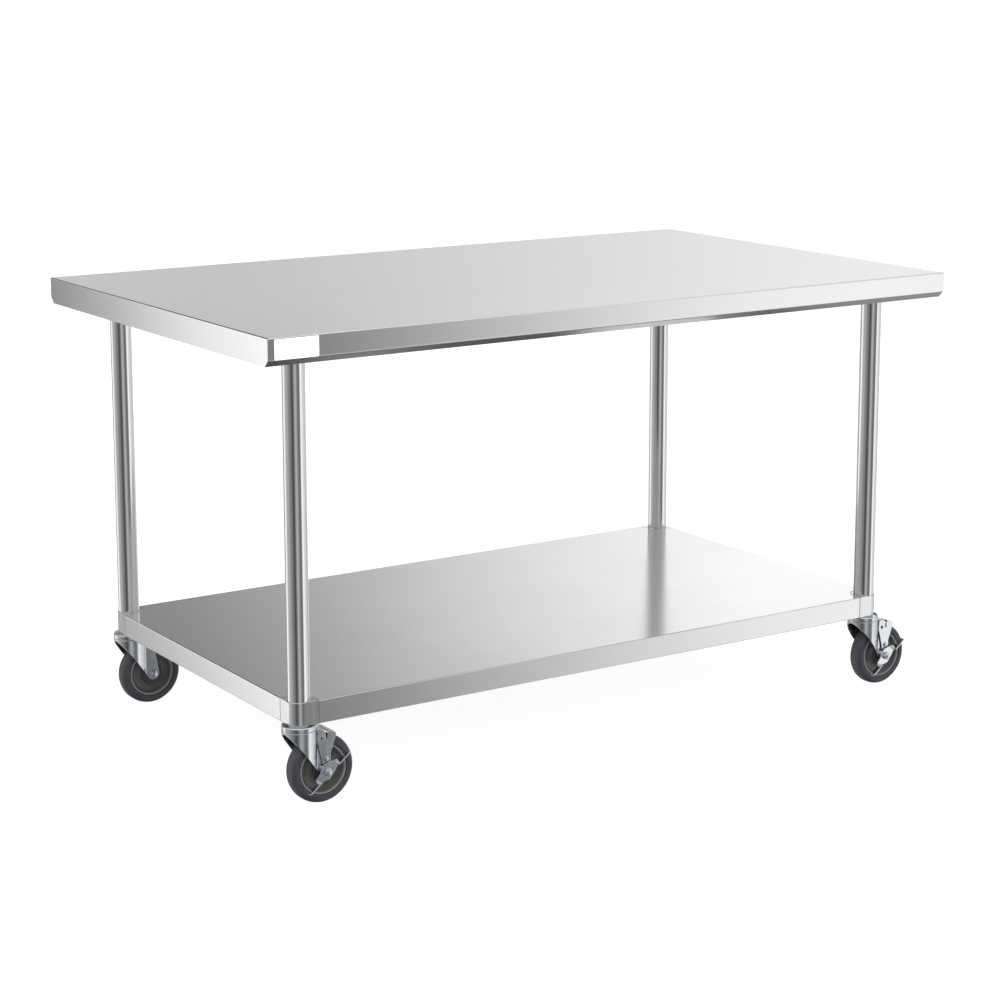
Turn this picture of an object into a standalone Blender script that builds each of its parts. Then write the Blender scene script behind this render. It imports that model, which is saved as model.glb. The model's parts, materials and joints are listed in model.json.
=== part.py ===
"""Stainless steel work table on four swivel casters, with an adjustable undershelf.

+X runs along the table's length, +Y to its back and +Z up.  The origin is on the floor,
under the centre of the top.  Lengths are in metres, angles in radians.
"""

import math

import bmesh
import bpy
from mathutils import Matrix

MM = 0.001
GAP = 0.3 * MM  # clearance between pieces that touch

# Top: one folded sheet with a turned-down edge all round
TOP_LENGTH = 1524 * MM
TOP_WIDTH = 914.4 * MM
TOP_HEIGHT = 866.5 * MM
TOP_SHEET = 1.5 * MM
TOP_SKIRT = 50 * MM
TOP_FACE = 38.4 * MM  # upright part of the front and back edge, above the return fold
TOP_RETURN = 12 * MM  # how far that fold runs inwards
TOP_EDGE_RADIUS = 2.5 * MM
LABEL_START = 12 * MM  # from the top's left end
LABEL_SIZE = (85 * MM, 35.5 * MM)
LABEL_DROP = 2.6 * MM  # below the top's upper surface
LABEL_THICKNESS = 0.3 * MM

# Hat-section channels under the top
HAT_SHEET = 1.2 * MM
HAT_DEPTH = 25 * MM
HAT_WEB = 84 * MM
HAT_FLANGE = 20 * MM
CHANNEL_LENGTH = 1490 * MM

# Legs and the sockets that hold them
LEG_INSET = 101.6 * MM
LEG_RADIUS = 41.275 / 2 * MM
LEG_WALL = 1.5 * MM
LEG_STEPS = 24
SOCKET_DEPTH = 34 * MM
SOCKET_FLOOR = 3.2 * MM
SOCKET_FLANGE_RADIUS = 40 * MM
SOCKET_RADIUS = LEG_RADIUS + GAP + 3.3 * MM
SOCKET_SCREW_DROP = 26 * MM

# Undershelf
SHELF_INSET = 79.3 * MM
SHELF_HEIGHT = 195.5 * MM  # upper surface
SHELF_APRON = 43 * MM
SHELF_SHEET = 1.2 * MM
SHELF_HEM = 14 * MM
SHELF_CHANNEL_LENGTH = 1180 * MM
SHELF_CHANNEL_DEPTH = 20 * MM
CLAMP_LEG_LENGTH = 50 * MM  # side of the clamp, along each apron
CLAMP_DEPTH = 28.3 * MM  # how far its straight end runs in from the apron
CLAMP_RING = 26 * MM
CLAMP_SCREW_HEIGHT = 168 * MM
CLAMP_TAB_LENGTH = 34 * MM
CLAMP_TAB_HALF = 10 * MM

# Set screws
SCREW_RADIUS = 3 * MM
SCREW_LENGTH = 9 * MM

# Casters: distances along the floor are from the swivel axis
WHEEL_RADIUS = 63.5 * MM
TYRE_HALF_WIDTH = 16 * MM
TYRE_STEPS = 28
RIM_RADIUS = 47 * MM
TRAIL = 40 * MM
CROWN_RADIUS = 32 * MM
CROWN_TOP = 142 * MM
FORK_SHEET = 2.5 * MM
FORK_HALF_WIDTH = 21.5 * MM
FORK_EYE_RADIUS = 12.5 * MM
RACEWAY_SEAT = 148.5 * MM
RACEWAY_RIM = 151.5 * MM
STEM_RADIUS = 5.8 * MM
STEM_TOP = 190 * MM
KINGPIN_RADIUS = 6 * MM
BALL_SPACE = 5 * MM  # height of the ball race between the raceway and the fork
AXLE_RADIUS = 4 * MM
BUSHING_RADIUS = 7.5 * MM
HEX_RADIUS = 7.6 * MM
HEX_HEIGHT = 6 * MM
BOSS_RADIUS = 23.5 * MM
BOSS_HALF_WIDTH = 18.6 * MM

# Side brake: a rocking lever on the axle, and an arm whose shoe hangs over the tread
BRAKE_PIVOT = (40.5 * MM, 86 * MM)
BRAKE_PIN_RADIUS = 3 * MM
ARM_SHEET = 2 * MM
ARM_INNER = FORK_HALF_WIDTH + 1.5 * MM
LEVER_SHEET = 2.5 * MM
LEVER_INNER = ARM_INNER + ARM_SHEET + 2 * MM
LEVER_TILT = math.radians(40)
LEVER_BOSS_RADIUS = 10.5 * MM

CORNERS = {"fl": (-1, -1), "fr": (1, -1), "rl": (-1, 1), "rr": (1, 1)}
BRAKED = ("fl", "fr")

# A flat outline is drawn in XY and pulled along Z; these turn Z to the axis named.
TURN_TO = {
    "X": Matrix(((0, 0, 1), (1, 0, 0), (0, 1, 0))).to_4x4(),  # outline in YZ
    "Y": Matrix(((1, 0, 0), (0, 0, -1), (0, 1, 0))).to_4x4(),  # outline in XZ, pulled along -Y
    "Z": Matrix.Identity(4),
}


def leg_place(corner):
    """Centre of a leg on the floor plan."""
    side_x, side_y = CORNERS[corner]
    return side_x * (TOP_LENGTH / 2 - LEG_INSET), side_y * (TOP_WIDTH / 2 - LEG_INSET)


def start_scene():
    """Empty the scene and make the collections for the parts and their cutters."""
    for obj in list(bpy.data.objects):
        bpy.data.objects.remove(obj)
    collections = []
    for name in ("work_table", "cutters"):
        collection = bpy.data.collections.new(name)
        bpy.context.scene.collection.children.link(collection)
        collections.append(collection)
    return collections


PARTS, CUTTERS = start_scene()


def make_material(name, colour, metallic, roughness):
    """Principled material of one colour."""
    material = bpy.data.materials.new(name)
    material.use_nodes = True
    shader = material.node_tree.nodes["Principled BSDF"]
    shader.inputs["Base Color"].default_value = (*colour, 1)
    shader.inputs["Metallic"].default_value = metallic
    shader.inputs["Roughness"].default_value = roughness
    material.diffuse_color = (*colour, 1)
    return material


STAINLESS = make_material("stainless", (0.62, 0.62, 0.61), 1.0, 0.32)
GALVANISED = make_material("galvanised", (0.56, 0.58, 0.60), 1.0, 0.45)
CAST_CLAMP = make_material("cast_clamp", (0.55, 0.55, 0.55), 1.0, 0.38)
ZINC = make_material("zinc_plate", (0.60, 0.64, 0.69), 1.0, 0.28)
TYRE_GREY = make_material("tyre_grey", (0.07, 0.07, 0.085), 0.0, 0.6)
HUB_GREY = make_material("hub_grey", (0.085, 0.085, 0.075), 0.0, 0.5)
SLEEVE_RUBBER = make_material("sleeve_rubber", (0.03, 0.03, 0.03), 0.0, 0.8)
STEEL = make_material("steel", (0.5, 0.5, 0.5), 1.0, 0.3)
LABEL_WHITE = make_material("label_white", (0.9, 0.9, 0.9), 0.0, 0.4)


# Mesh tools ------------------------------------------------------------------------------

def working_object(mesh):
    """Object for a mesh that is only an ingredient of a part."""
    obj = bpy.data.objects.new("ingredient", mesh)
    obj.hide_render = True
    obj.display_type = "WIRE"
    CUTTERS.objects.link(obj)
    return obj


def evaluated_mesh(obj):
    """The object's mesh with its modifiers applied; the object is removed."""
    graph = bpy.context.evaluated_depsgraph_get()
    mesh = bpy.data.meshes.new_from_object(obj.evaluated_get(graph))
    bpy.data.objects.remove(obj)
    return mesh


def tidy(mesh):
    """Weld the seams of a mesh and turn its faces outwards."""
    work = bmesh.new()
    work.from_mesh(mesh)
    bmesh.ops.remove_doubles(work, verts=work.verts, dist=0.001 * MM)
    bmesh.ops.recalc_face_normals(work, faces=work.faces)
    work.to_mesh(mesh)
    work.free()
    return mesh


def bm_to_mesh(work):
    """New mesh from a bmesh, which is freed."""
    mesh = bpy.data.meshes.new("shape")
    work.to_mesh(mesh)
    work.free()
    return mesh


def box(low, high):
    """Box between two corners."""
    work = bmesh.new()
    size = [b - a for a, b in zip(low, high)]
    middle = [(a + b) / 2 for a, b in zip(low, high)]
    bmesh.ops.create_cube(work, size=1, matrix=Matrix.Translation(middle) @ Matrix.Diagonal((*size, 1)))
    return bm_to_mesh(work)


def rod(axis, radius, low, high, at=(0, 0), sides=16):
    """Cylinder along an axis from low to high; at is its centre in the plane across the axis."""
    work = bmesh.new()
    matrix = TURN_TO[axis] @ Matrix.Translation((*at, 0))
    if axis == "Y":
        low, high = -high, -low
    bmesh.ops.create_cone(
        work, cap_ends=True, segments=sides, radius1=radius, radius2=radius, depth=high - low,
        matrix=matrix @ Matrix.Translation((0, 0, (low + high) / 2)) @ Matrix.Rotation(math.pi / sides, 4, "Z"),
    )
    return bm_to_mesh(work)


def plate(axis, low, high, outline):
    """Flat outline pulled along an axis from low to high."""
    curve = bpy.data.curves.new("outline", "CURVE")
    curve.dimensions = "2D"
    curve.fill_mode = "BOTH"
    curve.extrude = (high - low) / 2
    spline = curve.splines.new("POLY")
    spline.points.add(len(outline) - 1)
    for point, (across, up) in zip(spline.points, outline):
        point.co = (across, up, 0, 1)
    spline.use_cyclic_u = True
    mesh = evaluated_mesh(working_object(curve))
    bpy.data.curves.remove(curve)
    middle = (low + high) / 2
    if axis == "Y":
        middle = -middle
    mesh.transform(TURN_TO[axis] @ Matrix.Translation((0, 0, middle)))
    return tidy(mesh)


def turned(profile, steps, loop=False):
    """(radius, height) profile, outer side running down, turned about Z; loop closes it on itself."""
    mesh = bpy.data.meshes.new("profile")
    edges = [(i, i + 1) for i in range(len(profile) - 1)]
    if loop:
        edges.append((len(profile) - 1, 0))
    mesh.from_pydata([(radius, 0, height) for radius, height in profile], edges, [])
    obj = working_object(mesh)
    screw = obj.modifiers.new("turn", "SCREW")
    screw.axis = "Z"
    screw.steps = steps
    screw.render_steps = steps
    screw.use_merge_vertices = True
    screw.merge_threshold = 0.001 * MM
    return tidy(evaluated_mesh(obj))


def combined(operation, base, *others):
    """Exact Boolean of the base mesh with each of the others."""
    obj = working_object(base)
    tools = [working_object(mesh) for mesh in others]
    for tool in tools:
        modifier = obj.modifiers.new("boolean", "BOOLEAN")
        modifier.operation = operation
        modifier.solver = "EXACT"
        modifier.object = tool
    mesh = evaluated_mesh(obj)
    for tool in tools:
        bpy.data.objects.remove(tool)
    return tidy(mesh)


def round_edges(mesh, radius, segments, chosen):
    """Round the edges for which chosen(first corner, second corner) holds."""
    work = bmesh.new()
    work.from_mesh(mesh)
    edges = [edge for edge in work.edges if chosen(*(vert.co for vert in edge.verts))]
    bmesh.ops.bevel(work, geom=edges, offset=radius, segments=segments, profile=0.5, affect="EDGES")
    work.to_mesh(mesh)
    work.free()
    return mesh


def moved(mesh, matrix):
    """Copy of a mesh, moved."""
    copy = mesh.copy()
    copy.transform(matrix)
    return copy


def shifted(mesh, x=0, y=0, z=0):
    """Copy of a mesh, shifted."""
    return moved(mesh, Matrix.Translation((x, y, z)))


def mirrored(mesh, side_x, side_y):
    """Copy of a mesh, mirrored into a corner of the table."""
    return tidy(moved(mesh, Matrix.Diagonal((side_x, side_y, 1, 1))))


def add_part(name, mesh, material, parent=None, at=(0, 0, 0)):
    """Named sub-part with its own material."""
    mesh.materials.clear()
    mesh.materials.append(material)
    mesh.shade_smooth()
    mesh.set_sharp_from_angle(angle=math.radians(35))
    obj = bpy.data.objects.new(name, mesh)
    obj.parent = parent
    obj.location = at
    PARTS.objects.link(obj)
    return obj


def arc(centre, radius, start, end, steps):
    """Points along an arc, both ends included; angles in degrees."""
    angles = [math.radians(start + (end - start) * i / steps) for i in range(steps + 1)]
    return [(centre[0] + radius * math.cos(a), centre[1] + radius * math.sin(a)) for a in angles]


def tangent_angle(point, centre, radius, side):
    """Angle on a circle, in degrees, where a line from an outside point touches it."""
    across, up = point[0] - centre[0], point[1] - centre[1]
    swing = math.acos(radius / math.hypot(across, up))
    return math.degrees(math.atan2(up, across) + side * swing)


# Top and its frame -----------------------------------------------------------------------

def edge_section(inset):
    """(y, z) section of the top, moved inwards by inset; below, it runs straight down."""
    half = TOP_WIDTH / 2
    drop = TOP_SKIRT - TOP_FACE
    slope = drop / TOP_RETURN
    # The fold's own line, moved inwards square to itself
    fold_start = TOP_HEIGHT - TOP_FACE + inset * (math.hypot(1, slope) - slope)
    fold_end = half - TOP_RETURN - inset * math.hypot(1, slope) / slope
    bottom = TOP_HEIGHT - TOP_SKIRT
    right = [(fold_end, bottom), (half - inset, fold_start), (half - inset, TOP_HEIGHT - inset)]
    if inset:
        right.insert(0, (fold_end, bottom - 10 * MM))
    return right + [(-y, z) for y, z in reversed(right)]


def make_worktop():
    """Folded top: a tray turned upside down, open below."""
    half_length = TOP_LENGTH / 2
    outer = plate("X", -half_length, half_length, edge_section(0))
    outer = round_edges(outer, TOP_EDGE_RADIUS, 3, lambda a, b: min(a.z, b.z) > TOP_HEIGHT - 0.1 * MM)
    inner = plate("X", TOP_SHEET - half_length, half_length - TOP_SHEET, edge_section(TOP_SHEET))
    add_part("worktop", combined("DIFFERENCE", outer, inner), STAINLESS)


def make_label():
    """Blank sticker on the front edge."""
    width, height = LABEL_SIZE
    left = LABEL_START - TOP_LENGTH / 2
    back = -TOP_WIDTH / 2 - GAP
    top = TOP_HEIGHT - LABEL_DROP
    label = box((left, back - LABEL_THICKNESS, top - height), (left + width, back, top))
    add_part("front_label", label, LABEL_WHITE)


def hat_channel(length, depth):
    """Hat section along X with its flanges' upper side at height 0, open below its web."""
    web, edge = HAT_WEB / 2, HAT_WEB / 2 + HAT_FLANGE
    section = [(-edge, 0), (-web, 0), (-web, -depth), (web, -depth), (web, 0), (edge, 0)]
    work = bmesh.new()
    row = [work.verts.new((-length / 2, y, z)) for y, z in section]
    fold = [work.edges.new(pair) for pair in zip(row, row[1:])]
    swept = bmesh.ops.extrude_edge_only(work, edges=fold)
    new_verts = [item for item in swept["geom"] if isinstance(item, bmesh.types.BMVert)]
    bmesh.ops.translate(work, verts=new_verts, vec=(length, 0, 0))
    bmesh.ops.recalc_face_normals(work, faces=work.faces)
    obj = working_object(bm_to_mesh(work))
    solidify = obj.modifiers.new("sheet", "SOLIDIFY")
    solidify.thickness = HAT_SHEET
    solidify.offset = 0
    solidify.use_even_offset = True
    mesh = evaluated_mesh(obj)
    mesh.transform(Matrix.Translation((0, 0, -HAT_SHEET / 2)))
    return tidy(mesh)


def make_channels():
    """Two channels along the top over the legs, and one across between them."""
    leg_y = TOP_WIDTH / 2 - LEG_INSET
    under_top = TOP_HEIGHT - TOP_SHEET - GAP
    long_channel = hat_channel(CHANNEL_LENGTH, HAT_DEPTH)
    add_part("channel_front", shifted(long_channel, y=-leg_y, z=under_top), GALVANISED)
    add_part("channel_rear", shifted(long_channel, y=leg_y, z=under_top), GALVANISED)
    span = 2 * (leg_y - HAT_WEB / 2 - HAT_FLANGE - MM)
    cross = moved(hat_channel(span, HAT_DEPTH), Matrix.Rotation(math.pi / 2, 4, "Z"))
    add_part("channel_cross", shifted(cross, z=under_top), GALVANISED)


def make_legs():
    """Four tube legs and the sockets over their upper ends, drilled for a set screw."""
    socket_top = TOP_HEIGHT - TOP_SHEET - HAT_DEPTH - HAT_SHEET - 2 * GAP
    bore = LEG_RADIUS + GAP
    socket = turned([
        (0, 0),
        (SOCKET_FLANGE_RADIUS, 0),
        (SOCKET_FLANGE_RADIUS, -3 * MM),
        (SOCKET_RADIUS + 2.5 * MM, -14 * MM),
        (SOCKET_RADIUS, -18 * MM),
        (SOCKET_RADIUS, -SOCKET_DEPTH),
        (bore, -SOCKET_DEPTH),
        (bore, -SOCKET_FLOOR),
        (0, -SOCKET_FLOOR),
    ], 20)
    screw_hole = rod("X", SCREW_RADIUS + GAP, 0, 2 * SOCKET_RADIUS, at=(0, -SOCKET_SCREW_DROP), sides=12)
    socket = combined("DIFFERENCE", socket, screw_hole)

    leg_top = socket_top - SOCKET_FLOOR - GAP
    leg_foot = RACEWAY_SEAT + GAP
    inside = LEG_RADIUS - LEG_WALL
    wall = [(LEG_RADIUS, leg_top), (LEG_RADIUS, leg_foot), (inside, leg_foot), (inside, leg_top)]
    tube = turned(wall, LEG_STEPS, loop=True)

    for corner, (side_x, _) in CORNERS.items():
        x, y = leg_place(corner)
        add_part(f"leg_{corner}", tube.copy(), STAINLESS, at=(x, y, 0))
        add_part(f"leg_socket_{corner}", mirrored(socket, -side_x, 1), STAINLESS, at=(x, y, socket_top))


# Undershelf ------------------------------------------------------------------------------

def clamp_outline(grow, corner):
    """Plan of a corner clamp about its leg, grown all round; corner is the outline at -X -Y."""
    outer = LEG_INSET - SHELF_INSET
    end = CLAMP_LEG_LENGTH - outer + grow
    inward = CLAMP_DEPTH - outer + grow
    ring = CLAMP_RING + grow
    outer += grow
    meet = math.degrees(math.asin(inward / ring))
    return (
        [(end, -outer), (end, inward)]
        + arc((0, 0), ring, meet, 90 - meet, 6)
        + [(inward, end), (-outer, end)]
        + corner
    )


def make_shelf():
    """Shelf sheet with aprons and hems, notched at its corners, and its stiffening channel."""
    half_x = TOP_LENGTH / 2 - SHELF_INSET
    half_y = TOP_WIDTH / 2 - SHELF_INSET
    low, high = SHELF_HEIGHT - SHELF_APRON, SHELF_HEIGHT
    shelf = box((-half_x, -half_y, low), (half_x, half_y, high))
    in_x, in_y = half_x - SHELF_SHEET, half_y - SHELF_SHEET
    cavity = box((-in_x, -in_y, low + SHELF_SHEET), (in_x, in_y, high - SHELF_SHEET))
    open_x, open_y = half_x - SHELF_HEM, half_y - SHELF_HEM
    opening = box((-open_x, -open_y, low - MM), (open_x, open_y, low + 2 * MM))
    beyond = -SHELF_INSET
    notch = plate("Z", low - MM, high + MM, clamp_outline(GAP, [(beyond, beyond)]))
    notches = []
    for corner, (side_x, side_y) in CORNERS.items():
        notches.append(shifted(mirrored(notch, -side_x, -side_y), *leg_place(corner)))
    shelf = combined("DIFFERENCE", shelf, cavity, opening, *notches)
    add_part("undershelf", shelf, STAINLESS)

    channel = hat_channel(SHELF_CHANNEL_LENGTH, SHELF_CHANNEL_DEPTH)
    add_part("shelf_channel", shifted(channel, z=SHELF_HEIGHT - SHELF_SHEET - GAP), GALVANISED)


def make_clamps():
    """Corner clamps that slide on the legs, with a tab under the shelf and a set screw each."""
    low, high = SHELF_HEIGHT - SHELF_APRON, SHELF_HEIGHT
    bore = rod("Z", (LEG_RADIUS + GAP) / math.cos(math.pi / LEG_STEPS), low - MM, high + MM, sides=LEG_STEPS)
    tab_top = SHELF_HEIGHT - SHELF_SHEET - GAP
    tab_end = CLAMP_RING + CLAMP_TAB_LENGTH
    tab = box((CLAMP_RING - 3 * MM, -CLAMP_TAB_HALF, tab_top - 3 * MM), (tab_end, CLAMP_TAB_HALF, tab_top))
    diagonal = Matrix.Rotation(math.pi / 4, 4, "Z")
    rounded = arc((0, 0), LEG_INSET - SHELF_INSET, 180, 270, 8)
    clamp = combined("UNION", plate("Z", low, high, clamp_outline(0, rounded)), moved(tab, diagonal))

    hole = rod("X", SCREW_RADIUS + GAP, 0, 2 * CLAMP_RING, at=(0, CLAMP_SCREW_HEIGHT), sides=12)
    clamp = combined("DIFFERENCE", clamp, bore, moved(hole, diagonal))
    start = LEG_RADIUS + GAP
    screw = rod("X", SCREW_RADIUS, start, start + SCREW_LENGTH, at=(0, CLAMP_SCREW_HEIGHT), sides=10)
    screw = moved(screw, diagonal)
    for corner, (side_x, side_y) in CORNERS.items():
        x, y = leg_place(corner)
        add_part(f"shelf_clamp_{corner}", mirrored(clamp, -side_x, -side_y), CAST_CLAMP, at=(x, y, 0))
        add_part(f"set_screw_{corner}", mirrored(screw, -side_x, -side_y), STEEL, at=(x, y, 0))


# Casters ---------------------------------------------------------------------------------

def raceway_mesh():
    """Upper raceway cup with its stem above and its riveted kingpin below, on the swivel axis."""
    underside = CROWN_TOP + BALL_SPACE
    head_top = CROWN_TOP - FORK_SHEET - GAP
    return turned([
        (0, STEM_TOP),
        (STEM_RADIUS, STEM_TOP),
        (STEM_RADIUS, RACEWAY_SEAT),
        (CROWN_RADIUS - 3.5 * MM, RACEWAY_SEAT),
        (CROWN_RADIUS - 2.5 * MM, RACEWAY_RIM),
        (CROWN_RADIUS - 1 * MM, RACEWAY_RIM),
        (CROWN_RADIUS, RACEWAY_RIM - 1.5 * MM),
        (CROWN_RADIUS, CROWN_TOP + GAP),
        (CROWN_RADIUS - 2.5 * MM, CROWN_TOP + GAP),
        (CROWN_RADIUS - 3 * MM, underside),
        (KINGPIN_RADIUS, underside),
        (KINGPIN_RADIUS, head_top),
        (9.5 * MM, head_top),
        (8.5 * MM, head_top - 3 * MM),
        (0, head_top - 3 * MM),
    ], 24)


def sleeve_mesh():
    """Expanding rubber sleeve on the stem, inside the foot of the leg."""
    outer = LEG_RADIUS - LEG_WALL - GAP
    inner = STEM_RADIUS + GAP
    low, high = RACEWAY_SEAT + 2 * GAP, STEM_TOP - 8 * MM
    return turned([(outer - MM, high), (outer, low), (inner, low), (inner, high)], 16, loop=True)


def fork_plan(inset, rear):
    """Plan of the fork: a round crown whose two cheeks run back to rear."""
    radius, half = CROWN_RADIUS - inset, FORK_HALF_WIDTH - inset
    meet = math.degrees(math.asin(half / radius))
    return [(rear, half)] + arc((0, 0), radius, meet, 360 - meet, 20) + [(rear, -half)]


def fork_side():
    """Side view of the fork: an oblique leading edge, a round eye, and a leaning trailing edge."""
    axle = (TRAIL, WHEEL_RADIUS)
    front = (-CROWN_RADIUS, CROWN_TOP - 3 * MM)
    back = (44.5 * MM, 112 * MM)
    first = tangent_angle(back, axle, FORK_EYE_RADIUS, -1)
    last = tangent_angle(front, axle, FORK_EYE_RADIUS, 1) - 360
    over = CROWN_TOP + MM
    return (
        [(front[0] - MM, over), (36 * MM, over), (36 * MM, CROWN_TOP - 3 * MM), back]
        + arc(axle, FORK_EYE_RADIUS, first, last, 8)
        + [front, (front[0] - MM, front[1])]
    )


def fork_mesh(braked):
    """Pressed fork: crown and skirt in one with the two cheeks, drilled for kingpin and axle."""
    low = WHEEL_RADIUS - 2 * FORK_EYE_RADIUS
    rear = TRAIL + 2 * FORK_EYE_RADIUS
    outer = plate("Z", low, CROWN_TOP, fork_plan(0, rear))
    hollow = plate("Z", low - MM, CROWN_TOP - FORK_SHEET, fork_plan(FORK_SHEET, rear + MM))
    side = plate("Y", -CROWN_RADIUS - MM, CROWN_RADIUS + MM, fork_side())
    fork = combined("INTERSECT", combined("DIFFERENCE", outer, hollow), side)
    wide = CROWN_RADIUS + MM
    holes = [
        rod("Z", KINGPIN_RADIUS + GAP, CROWN_TOP - 2 * FORK_SHEET, CROWN_TOP + MM, sides=20),
        rod("Y", AXLE_RADIUS + GAP, -wide, wide, at=(TRAIL, WHEEL_RADIUS)),
    ]
    if braked:
        holes.append(rod("Y", BRAKE_PIN_RADIUS + GAP, -wide, 0, at=BRAKE_PIVOT, sides=12))
    return combined("DIFFERENCE", fork, *holes)


def axle_bolt_mesh(nut_face):
    """Hex bolt through the wheel from the back, its nut run home at the front; origin on the axle."""
    head_face = FORK_HALF_WIDTH + GAP
    shank = rod("Y", AXLE_RADIUS, -nut_face - HEX_HEIGHT - 1.5 * MM, head_face + 2 * MM)
    head = rod("Y", HEX_RADIUS, head_face, head_face + HEX_HEIGHT, sides=6)
    nut = rod("Y", HEX_RADIUS, -nut_face - HEX_HEIGHT, -nut_face, sides=6)
    nut = round_edges(nut, 0.8 * MM, 1, lambda a, b: max(a.y, b.y) < -nut_face - MM)
    return combined("UNION", shank, head, nut)


def both_sides(half):
    """Whole profile of a symmetrical ring from its upper half."""
    return half + [(radius, -width) for radius, width in reversed(half)]


def turned_on_axle(profile, steps):
    """Closed (radius, width) profile turned about Y with flats, not corners, at the floor."""
    ring = turned(profile, steps, loop=True)
    ring.transform(Matrix.Rotation(-math.pi / 2, 4, "X") @ Matrix.Rotation(math.pi / steps, 4, "Z"))
    return tidy(ring)


def bushing_mesh():
    """Steel spanner bushing that the wheel turns on."""
    half = FORK_HALF_WIDTH - FORK_SHEET - GAP
    inner = AXLE_RADIUS + GAP
    return turned_on_axle([(BUSHING_RADIUS, half), (BUSHING_RADIUS, -half), (inner, -half), (inner, half)], 16)


def hub_mesh():
    """Moulded wheel centre: boss, dished web and rim."""
    half = [
        (RIM_RADIUS - GAP, 14.6 * MM),
        (43.6 * MM, 14.6 * MM),
        (41.5 * MM, 9 * MM),
        (36 * MM, 5.5 * MM),
        (BOSS_RADIUS, 6.5 * MM),
        (BOSS_RADIUS - MM, BOSS_HALF_WIDTH),
        (BUSHING_RADIUS + GAP, BOSS_HALF_WIDTH),
    ]
    return turned_on_axle(both_sides(half), 20)


def tyre_mesh():
    """Rubber tyre with a well rounded tread; its flats touch the floor at the wheel's radius."""
    tread = WHEEL_RADIUS / math.cos(math.pi / TYRE_STEPS)
    half = [
        (tread, 4 * MM),
        (tread - 1.5 * MM, 11 * MM),
        (tread - 6 * MM, TYRE_HALF_WIDTH),
        (RIM_RADIUS + 3 * MM, TYRE_HALF_WIDTH),
        (RIM_RADIUS, 14.8 * MM),
    ]
    return turned_on_axle(both_sides(half), TYRE_STEPS)


def lever_mesh():
    """Rocking brake lever: a bow-shaped plate with a cam boss and a foot tab at each end."""
    inner, outer = -LEVER_INNER, -LEVER_INNER - LEVER_SHEET
    bow = [
        (28 * MM, -4.5 * MM), (28 * MM, 3 * MM), (6 * MM, 14.5 * MM), (-11 * MM, 8 * MM),
        (-28 * MM, 4.5 * MM), (-28 * MM, -3 * MM), (-6 * MM, -14.5 * MM), (11 * MM, -10.5 * MM),
    ]
    blade = plate("Y", outer, inner, bow)
    tabs = [
        box((22 * MM, outer - 9 * MM, -4.5 * MM), (52 * MM, inner, -2.3 * MM)),
        box((-52 * MM, outer - 9 * MM, -3 * MM), (-22 * MM, inner, -0.8 * MM)),
    ]
    boss = rod("Y", LEVER_BOSS_RADIUS, inner - MM, -FORK_HALF_WIDTH - GAP, sides=20)
    lever = combined("UNION", blade, *tabs, boss)
    bore = rod("Y", AXLE_RADIUS + GAP, outer - MM, 0)
    lever = combined("DIFFERENCE", lever, bore)
    lever.transform(Matrix.Rotation(-LEVER_TILT, 4, "Y"))
    return lever


def arm_outline():
    """Side view of the brake arm about its pivot: a waist, a hooked slot and a broad head."""
    points = [
        (-7.5, -9.5), (6.5, -9.5), (9.5, -4), (8.8, 8), (15, 25), (21.5, 44),
        (17.5, 48), (6.5, 51), (2.8, 47), (3, 37), (0.3, 36.2), (-0.7, 48), (-3.5, 54.2), (-17, 53.5),
        (-17.8, 33.5), (-15, 25), (-9.5, 2),
    ]
    return [(x * MM, z * MM) for x, z in points]


def arm_mesh():
    """Brake arm: a side plate hung on its pin, and a bridge over the tread that carries the shoe."""
    inner, outer = -ARM_INNER, -ARM_INNER - ARM_SHEET
    side = plate("Y", outer, inner, arm_outline())
    bridge_points = [(4.5, 51.5), (17.5, 48), (21.5, 44), (21, 40), (14.5, 42.6), (5, 48.8)]
    bridge = plate("Y", inner - MM, ARM_INNER, [(x * MM, z * MM) for x, z in bridge_points])
    holes = [
        rod("Y", BRAKE_PIN_RADIUS + GAP, outer - MM, 0, sides=12),
        rod("Y", 3.2 * MM, outer - MM, 0, at=(-9.5 * MM, 38.5 * MM), sides=12),
    ]
    return combined("DIFFERENCE", combined("UNION", side, bridge), *holes)


def pin_mesh():
    """Rivet that the brake arm turns on, set in the fork's front cheek."""
    face = -ARM_INNER - ARM_SHEET - GAP
    shank = rod("Y", BRAKE_PIN_RADIUS, face - 0.5 * MM, -FORK_HALF_WIDTH + FORK_SHEET, sides=12)
    head = rod("Y", 5 * MM, face - 1.6 * MM, face, sides=12)
    return combined("UNION", shank, head)


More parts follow.
